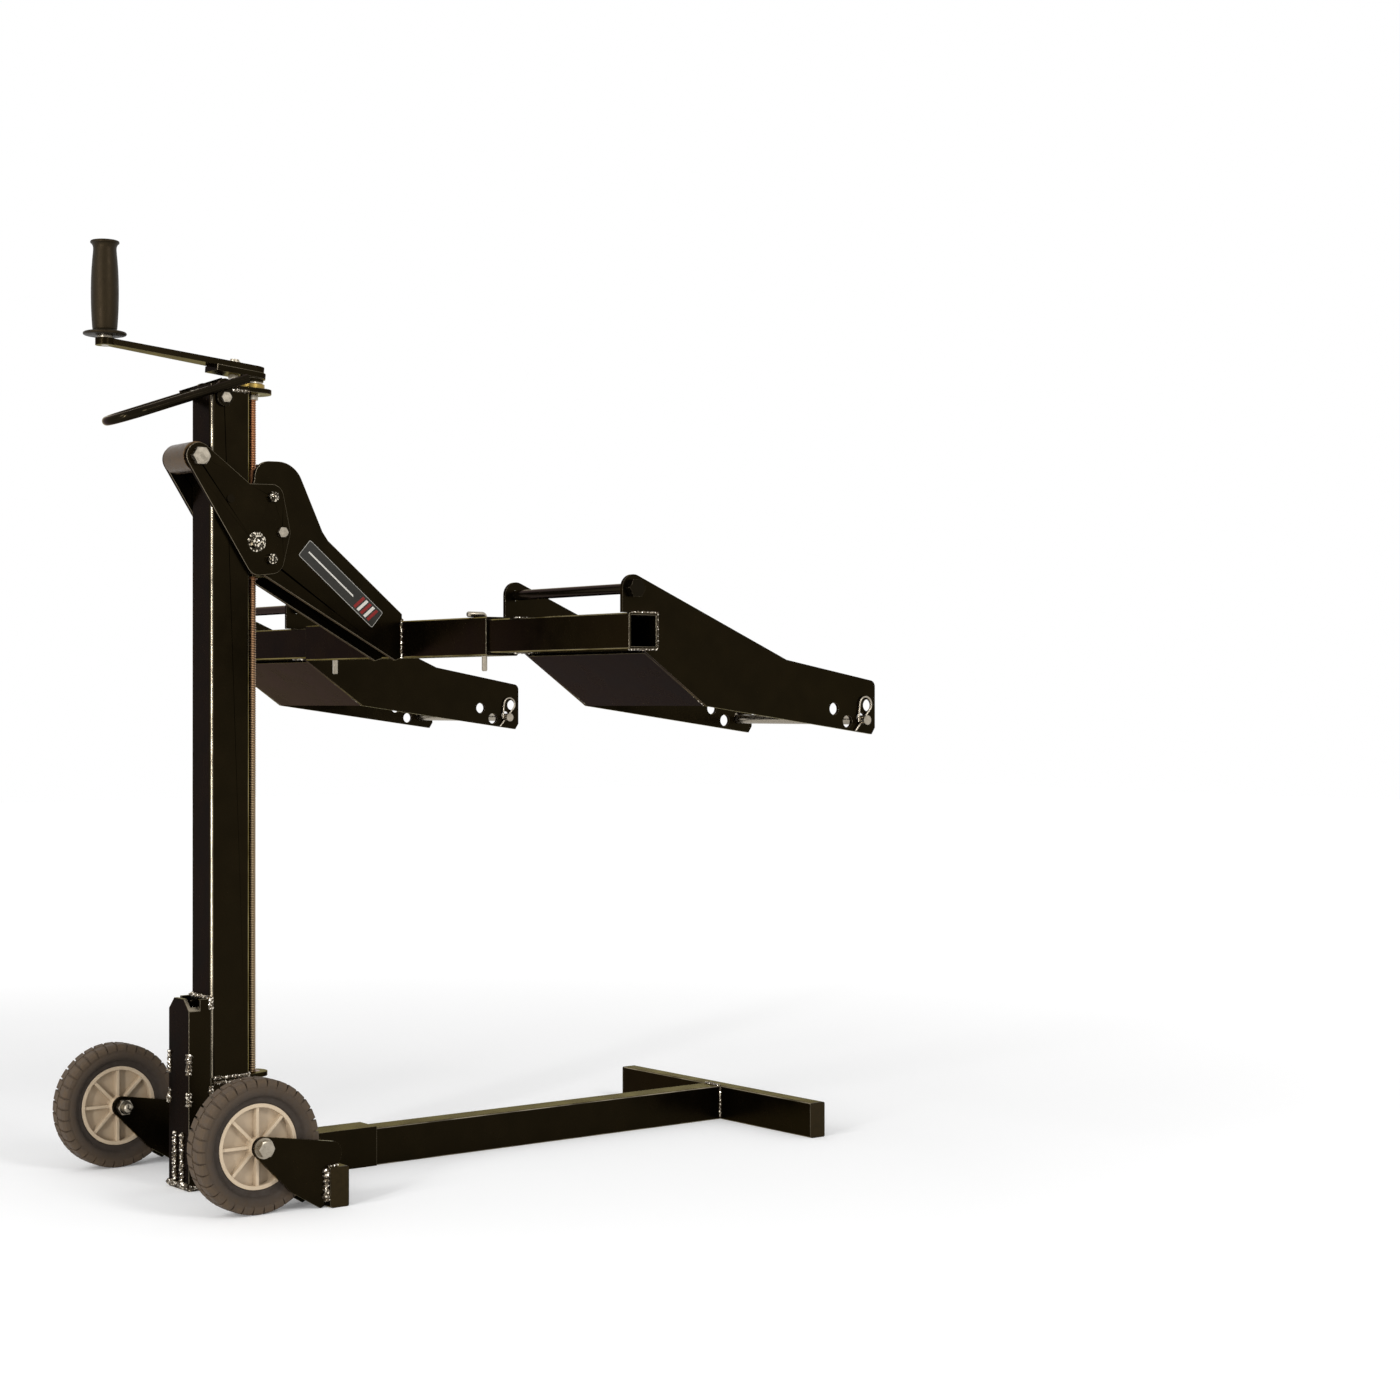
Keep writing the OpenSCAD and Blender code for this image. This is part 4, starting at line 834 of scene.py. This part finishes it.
# %% Set a piece of hardware
def set_hardware(name, body, items, *replaced, coat=zinc_plate, slot="zinc_steel"):
    """Grows a piece from blanks given as (kind, place, facing along Y, width, length)."""
    mesh = plain_mesh(name, [item[1] for item in items])
    for label, data_type in (("kind", "INT"), ("size", "FLOAT_VECTOR"), ("turn", "FLOAT_VECTOR")):
        mesh.attributes.new(label, data_type, "POINT")
    for i, (kind, place, facing, width, length) in enumerate(items):
        mesh.attributes["kind"].data[i].value = kind
        mesh.attributes["size"].data[i].vector = (width, width, length)
        mesh.attributes["turn"].data[i].vector = (-facing * math.pi / 2, 0, 0)
    grow(hardware, mesh, body, slot, *replaced, Finish=coat)


# %% [markdown]
# A bolt's solid is a plain stack of rounds, so its box gives the middle, both ends and the width
# of its widest round. The rest follows from the shares that standard bolts have.

# %% Bolts by their boxes
HEAD_SHARE, NUT_SHARE, FLATS_SHARE, WASHER_SHARE = 0.65, 0.8, 1.6, 0.2
STUB = 2.5 * MM                  # the thread that stands out of a nut


def bolt(low, high, side, nut=True, flats=None, from_inside=False):
    """A bolt along Y, its head on the side given or inside. With flats, the box is a washer's."""
    middle, widest = (low + high) / 2, high.z - low.z
    hex_width = flats or widest
    d = hex_width / FLATS_SHARE
    head_l, nut_l = HEAD_SHARE * d, NUT_SHARE * d
    end, far = (high.y, low.y) if side > 0 else (low.y, high.y)
    seat, nut_seat = end - side * head_l, far + side * nut_l
    if from_inside:
        tip = seat + side * (nut_l + STUB)
        items = [(NUT, seat, side, nut_l), (HEAD, nut_seat, -side, head_l),
                (SHANK, nut_seat, side, abs(tip - nut_seat))]
    else:
        items = [(HEAD, seat, side, head_l), (SHANK, far, side, abs(end - far) - head_l)]
        if nut:
            items.append((NUT, nut_seat, -side, nut_l))
    if flats:
        items.append((WASHER, seat, -side, WASHER_SHARE * d))
        if nut:
            items.append((WASHER, nut_seat, side, WASHER_SHARE * d))
    widths = {HEAD: hex_width, NUT: hex_width, SHANK: d, WASHER: widest}
    return [(kind, (middle.x, y, middle.z), facing, widths[kind], length)
            for kind, y, facing, length in items]


def outer_side(low, high):
    """The side of the jack that a solid is on: 1 for left and -1 for right."""
    return 1 if low.y > 0 else -1


# %% [markdown]
# The roller's bolt is bright zinc. The guide bolt and four of the six arm bolts have the painted
# dark reflection and glints, and those four have their nuts outside. Two small round screws hold
# the nylon pads.

# %% Hardware of the carriage
GUIDE_D = 10 * MM
set_hardware("roller_bolt_hex", "carriage", bolt(*solids_of("roller_bolt")[0], -1), "roller_bolt")
set_hardware("guide_bolt_hex", "carriage",
        bolt(*solids_of("guide_bolt")[0], 1, flats=GUIDE_D * FLATS_SHARE), "guide_bolt",
        coat=dark_glint_zinc_plate)

clean_bolts, dark_glint_bolts = [], []
arm_bolts = solids_of("arm_bolts")
heights = sorted(low.z for low, high in arm_bolts)
for low, high in arm_bolts:
    if heights[1] < low.z < heights[4]:
        clean_bolts += bolt(low, high, outer_side(low, high))
    else:
        dark_glint_bolts += bolt(low, high, outer_side(low, high), from_inside=True)
set_hardware("arm_bolts_hex", "carriage", clean_bolts, "arm_bolts")
set_hardware("arm_nuts_hex", "carriage", dark_glint_bolts, coat=dark_glint_zinc_plate)

PAD_SCREW_X, PAD_SCREW_Z, PAD_SCREW_D, PAD_SCREW_H = -4.1 * MM, 900.2 * MM, 11 * MM, 1.8 * MM
pad_screws = [(SHANK, (PAD_SCREW_X, y * MM, PAD_SCREW_Z), side, PAD_SCREW_D, PAD_SCREW_H)
        for side, y in ((1, box_of("left_carriage_plate").left),
        (-1, box_of("right_carriage_plate").right))]
set_hardware("pad_screws", "carriage", pad_screws, coat=bar_coat, slot="black_steel")

# %% Hardware of the base
AXLE_D, CLAMP_D, SADDLE_WALL = 12 * MM, 10 * MM, 3 * MM
base_items = bolt(*solids_of("handle_bolt")[0], -1)
for low, high in solids_of("axle_bolts"):
    base_items += bolt(low, high, outer_side(low, high), nut=False, flats=AXLE_D * FLATS_SHARE)
for low, high in solids_of("axle_nuts"):
    side, middle = outer_side(low, high), (low + high) / 2
    base_items.append((NUT, (middle.x, high.y if side > 0 else low.y, middle.z), -side,
            high.z - low.z, high.y - low.y))

low, high = solids_of("leg_clamp_bolt")[0]
x, z, head_l = (low.x + high.x) / 2, (low.z + high.z) / 2, HEAD_SHARE * CLAMP_D
base_items += [
    (NUT, (x, low.y + SADDLE_WALL, z), 1, CLAMP_D * FLATS_SHARE, CLAMP_D * NUT_SHARE),
    (SHANK, (x, low.y, z), 1, CLAMP_D, high.y - low.y - CLAMP_D / 2),
    (HEAD, (x, high.y - head_l, z), 1, CLAMP_D * FLATS_SHARE, head_l)]
set_hardware("base_bolts_hex", "base", base_items, "handle_bolt", "axle_bolts", "axle_nuts",
        "leg_clamp_bolt")

# %% [markdown]
# ## The bent pins
# Each pan is locked by a rod bent to an L, whose short arm lies on the cross tube. A bar keeps its
# round section through a bend, so a circle swept along a path is the natural way to make it. The
# path's points carry a girth, which takes the sharp edge off both cut ends.

# %% Bar tree
tree, given = new_tree("round_bar", Radius=0.004, Finish=zinc_plate)
girth = add(tree, "GeometryNodeInputNamedAttribute", {"Name": "girth"}, data_type="FLOAT")
route = add(tree, "GeometryNodeMeshToCurve", {0: given["Geometry"]})
section = add(tree, "GeometryNodeCurvePrimitiveCircle", {"Resolution": 16,
        "Radius": given["Radius"]})
swept = add(tree, "GeometryNodeCurveToMesh", {0: route, 1: section, "Scale": girth,
        "Fill Caps": True})
round_bar = keep(tree, swept, given["Finish"], smooth=True)

# %% Bend the pins
PIN_R, BEND_R, ARM_L, CUT = 3.8 * MM, 4.2 * MM, 27 * MM, 1.2 * MM
PIN_CLEAR = 0.4 * MM
CUT_GIRTH = 0.7
arm_z = lift.top * MM + PIN_R + PIN_CLEAR
for side in ("left", "right"):
    low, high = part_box(side + "_hitch_pin")
    x, y = high.x - PIN_R, (low.y + high.y) / 2
    path = [(x, y, low.z), (x, y, low.z + CUT)]
    for a in (math.radians(step_deg) for step_deg in range(0, 91, 10)):
        path.append((x - BEND_R * (1 - math.cos(a)), y, arm_z - BEND_R * (1 - math.sin(a))))
    path += [(x - ARM_L + CUT, y, arm_z), (x - ARM_L, y, arm_z)]
    pin_mesh = plain_mesh(side + "_bent_pin", path, [(i, i + 1) for i in range(len(path) - 1)])
    pin_mesh.attributes.new("girth", "FLOAT", "POINT")
    for i, point in enumerate(pin_mesh.attributes["girth"].data):
        point.value = CUT_GIRTH if i in (0, len(path) - 1) else 1.0
    grow(round_bar, pin_mesh, side + "_hitch", "zinc_steel", side + "_hitch_pin", Radius=PIN_R)

# %% [markdown]
# ## Tyres
# The wheels carry solid rubber tyres with two rows of blocks on the shoulders, one row half a step
# behind the other. The carcass is a turned shape, so its outline is spun round the axle in code,
# with the sunk wall and the round shoulder of the mould. The blocks repeat by a rule, so a tree
# sets them on two circles and turns each one to face outward.

# %% Turned shapes
def face_out(mesh):
    """Joins double points and turns every face outward."""
    shape = bmesh.new()
    shape.from_mesh(mesh)
    bmesh.ops.remove_doubles(shape, verts=shape.verts, dist=0.000001)
    bmesh.ops.recalc_face_normals(shape, faces=shape.faces)
    shape.to_mesh(mesh)
    shape.free()


def turned(name, outline_mm, centre, axis, steps=72, sharp_deg=50):
    """Spins a closed outline of (radius, place along the axis) about Y or Z."""
    points, faces = [], []
    count = len(outline_mm)
    for i in range(steps):
        angle = math.tau * i / steps
        for radius, far in outline_mm:
            u, v, w = radius * MM * math.cos(angle), radius * MM * math.sin(angle), far * MM
            points.append(Vector((u, w, v) if axis == "Y" else (u, v, w)) + centre)
        here, there = i * count, (i + 1) % steps * count
        for k in range(count):
            after = (k + 1) % count
            faces.append((here + k, here + after, there + after, there + k))
    mesh = plain_mesh(name, points, (), faces)
    face_out(mesh)
    mesh.shade_smooth()
    mesh.set_sharp_from_angle(angle=math.radians(sharp_deg))
    return mesh


# Half of the tyre's outline, from the rim to the middle of the tread
HALF_TYRE = [(53.5, 11.2), (54.6, 12.6), (57, 13.0), (60.6, 13.2), (62.2, 14.4), (63.0, 16.6),
        (64.6, 17.7), (67.4, 18.0), (71, 17.9), (75.5, 17.2), (79.2, 15.6), (81.2, 12.4),
        (82.1, 8.0), (82.4, 2.6)]
TYRE_OUTLINE = [(r, -y) for r, y in HALF_TYRE] + [(r, y) for r, y in reversed(HALF_TYRE)]
print("tyre outline of", len(TYRE_OUTLINE), "points")

# %% [markdown]
# One tread block is drawn as its outline across the tread, where Y runs to the shoulder and Z is
# up from the carcass. Four copies of that outline along the tread make the block, and the first
# and last are lower, which rounds its ends. A little skew turns the block into the tread's slant.

# %% Tread block
BLOCK_SIDE = [(-8.2, -1.0), (-7.8, 1.3), (-7.2, 1.6), (4.4, 1.4), (7.0, 0.3), (8.6, -2.2),
        (9.2, -6.2), (8.7, -9.4), (7.0, -9.4)]
BLOCK_LENGTH = 12.6
BLOCK_SKEW = 0.16
BLOCK_SLICES = ((-0.5, 0.6), (-0.45, 1.0), (0.45, 1.0), (0.5, 0.6))    # place and height shares
block_points = [
    ((x * BLOCK_LENGTH + BLOCK_SKEW * y) * MM, y * MM, (z * low if z > 0 else z) * MM)
    for x, low in BLOCK_SLICES for y, z in BLOCK_SIDE]
count = len(BLOCK_SIDE)
block_faces = [tuple(range(count)), tuple(reversed(range(3 * count, 4 * count)))]
for k in range(3):
    for i in range(count):
        a, b = k * count + i, k * count + (i + 1) % count
        block_faces.append((b, a, a + count, b + count))
block = bpy.data.objects.new("tread_block", plain_mesh("tread_block", block_points, (),
        block_faces))
print("a block of", len(block_faces), "faces")

# %% Tread tree
tree, given = new_tree("treaded_tyre", Block=block, Blocks=34, Radius=0.0824, Track=0.009,
        Centre=Vector((0, 0, 0)), Finish=tyre_rubber)
half_step = add(tree, "ShaderNodeMath", {0: math.pi, 1: given["Blocks"]}, operation="DIVIDE")
wheel_circle = add(tree, "GeometryNodeMeshCircle", {"Vertices": given["Blocks"],
        "Radius": given["Radius"]})
stamp = add(tree, "GeometryNodeObjectInfo", {"Object": given["Block"]}).outputs["Geometry"]
both = add(tree, "GeometryNodeJoinGeometry")
tree.links.new(given["Geometry"], both.inputs[0])
for side, steps_on in ((1, 0.5), (-1, 1.5)):
    stagger = add(tree, "ShaderNodeMath", {0: half_step, 1: steps_on}, operation="MULTIPLY")
    pose = add(tree, "ShaderNodeCombineXYZ", {0: math.pi / 2, 1: stagger})
    shift = add(tree, "ShaderNodeMath", {0: given["Track"], 1: float(side)}, operation="MULTIPLY")
    row = add(tree, "GeometryNodeTransform", {
        0: wheel_circle, 1: add(tree, "ShaderNodeCombineXYZ", {1: shift}), 2: pose})
    outward = add(tree, "FunctionNodeAlignRotationToVector", {
        "Vector": add(tree, "GeometryNodeInputPosition")}, axis="Z", pivot_axis="Y")
    facing = add(tree, "FunctionNodeRotateRotation", {
        0: outward, 1: (0, 0, 0 if side > 0 else math.pi)}, rotation_space="LOCAL")
    lugs = add(tree, "GeometryNodeInstanceOnPoints", {"Points": row, "Instance": stamp,
            "Rotation": facing})
    hung = add(tree, "GeometryNodeTransform", {0: lugs, 1: given["Centre"]})
    tree.links.new(hung.outputs[0], both.inputs[0])
treaded_tyre = keep(tree, both, given["Finish"])

# %% Both tyres
for side in ("left", "right"):
    low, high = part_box(side + "_tyre")
    centre = (low + high) / 2
    grow(treaded_tyre, turned(side + "_treaded_tyre", TYRE_OUTLINE, centre, "Y"),
         side + "_wheel", "tyre_rubber", side + "_tyre", Centre=centre)

# %% [markdown]
# ## The grip
# The grip is a moulded rubber barrel with a hand guard, and it spins on a pin. The solid has the
# same outline with few corners. A Catmull Rom curve through those corners gives the soft barrel,
# and the rim of the guard is rolled.

# %% A curve through corners
def eased(corners, steps):
    """Points of a Catmull Rom curve through corners, ends included."""
    result, last = [], len(corners) - 1
    for i in range(last):
        p0, p1, p2, p3 = (Vector(corners[max(0, min(last, i + j))]) for j in (-1, 0, 1, 2))
        for t in (k / steps for k in range(steps)):
            point = 0.5 * (2 * p1 + (p2 - p0) * t + (2 * p0 - 5 * p1 + 4 * p2 - p3) * t ** 2
                    + (3 * p1 - p0 - 3 * p2 + p3) * t ** 3)
            result.append(tuple(point))
    return result + [tuple(corners[-1])]


# %% Grip
grip = box_of("crank_grip")
GRIP_L, GUARD_R = grip.top - grip.bottom, (grip.front - grip.back) / 2
GRIP_R, PIN_HOLE_R = 17.5, 6.2
GUARD = [(GUARD_R - 3, 0.0), (GUARD_R - 0.9, 0.7), (GUARD_R, 2.2), (GUARD_R - 0.7, 3.8),
        (GUARD_R - 3, 4.7), (GUARD_R - 8, 5.4)]
BARREL_SHARES = [(0.86, 0.06), (0.9, 0.09), (0.97, 0.25), (1.0, 0.45), (0.97, 0.65), (0.9, 0.8),
        (0.84, 0.9), (0.86, 0.94), (0.95, 0.965), (1.03, 0.975), (1.04, 0.99),
        (0.96, 1.0), (0.7, 1.0)]
BORE = [(8.4, GRIP_L - 1.2), (8.2, GRIP_L - 8), (PIN_HOLE_R, GRIP_L - 10)]
barrel = [(r * GRIP_R, h * GRIP_L) for r, h in BARREL_SHARES]
outline = [(PIN_HOLE_R, 0.0)] + eased(GUARD, 3) + eased(barrel, 5) + BORE
grip_foot = Vector(((grip.back + grip.front) / 2, (grip.right + grip.left) / 2, grip.bottom)) * MM
grip_mesh = turned("moulded_grip", outline, grip_foot, "Z", steps=56)
grip_mesh.materials.append(grip_rubber)
hold(grip_mesh, "grip", "grip_rubber", "crank_grip")

# %% [markdown]
# ## The label on the arm
# The right side of the arm carries a thin vinyl label. It is generic: a dark field, a pale
# hairline border and a few slanted bars in red and white. Each colour is its own thin film, less
# than a tenth of a millimetre above the last, as in screen printing. Places on the label are
# shares of its length and height.

# %% The label's frame
LABEL_TOP_BACK, LABEL_LOW_BACK, LABEL_TOP_FRONT = (
    Vector(corner) for corner in ((116.9, 851.4), (100.7, 829.2), (229.8, 756.3)))  # X and Z, mm
FILM_MM, SEAT_MM = 0.08, 0.05
along = LABEL_TOP_FRONT - LABEL_TOP_BACK
down = LABEL_LOW_BACK - LABEL_TOP_BACK
down -= along * down.dot(along) / along.length_squared
arm_face = box_of("right_arm_plate").right


def film(shares, layer):
    """Points of a flat film on the arm's face, from shares of the label's length and height."""
    y = arm_face - SEAT_MM - FILM_MM * layer
    flat = [LABEL_TOP_BACK + along * u + down * w for u, w in shares]
    return [(point.x * MM, y * MM, point.y * MM) for point in flat]


def rounded_plate(inset_mm, round_mm):
    """A rectangle with rounded corners, in shares of the label."""
    w, h = along.length, down.length
    result = []
    for cx, cy, start_deg in ((1, 0, -90), (1, 1, 0), (0, 1, 90), (0, 0, 180)):
        for a in (math.radians(start_deg + 22.5 * k) for k in range(5)):
            x = abs(cx * w - inset_mm - round_mm) + round_mm * math.cos(a)
            y = abs(cy * h - inset_mm - round_mm) + round_mm * math.sin(a)
            result.append((x / w, y / h))
    return result


print("label", round(along.length), "by", round(down.length), "mm")

# %% Films of the label
PALE, DARK, RED, WHITE = range(4)
BAR_START, BAR_STEP, BAR_WIDTH, BAR_SLANT, BAR_LOW, BAR_TOP = 0.72, 0.045, 0.03, 0.025, 0.86, 0.14
films = [(rounded_plate(0, 2.5), PALE), (rounded_plate(0.8, 2.0), DARK)]
for k, colour in enumerate((RED, WHITE, RED, WHITE, RED)):
    u = BAR_START + BAR_STEP * k
    films.append(([(u, BAR_LOW), (u + BAR_WIDTH, BAR_LOW), (u + BAR_WIDTH + BAR_SLANT, BAR_TOP),
            (u + BAR_SLANT, BAR_TOP)], colour))
films.append(([(0.06, 0.46), (0.66, 0.46), (0.67, 0.54), (0.06, 0.54)], WHITE))

points, faces, colours = [], [], []
for shares, colour in films:
    first, n = len(points), len(shares)
    points += film(shares, min(colour, RED) + 1) + film(shares, 0)
    faces.append(tuple(range(first, first + n)))
    faces += [(first + i, first + n + i, first + n + (i + 1) % n, first + (i + 1) % n)
            for i in range(n)]
    faces.append(tuple(reversed(range(first + n, first + 2 * n))))
    colours += [colour] * (n + 2)
label_mesh = plain_mesh("arm_label", points, (), faces)
for polygon, colour in zip(label_mesh.polygons, colours):
    polygon.material_index = colour
for vinyl in label_vinyls:
    label_mesh.materials.append(vinyl)
face_out(label_mesh)
hold(label_mesh, "carriage", "black_steel")
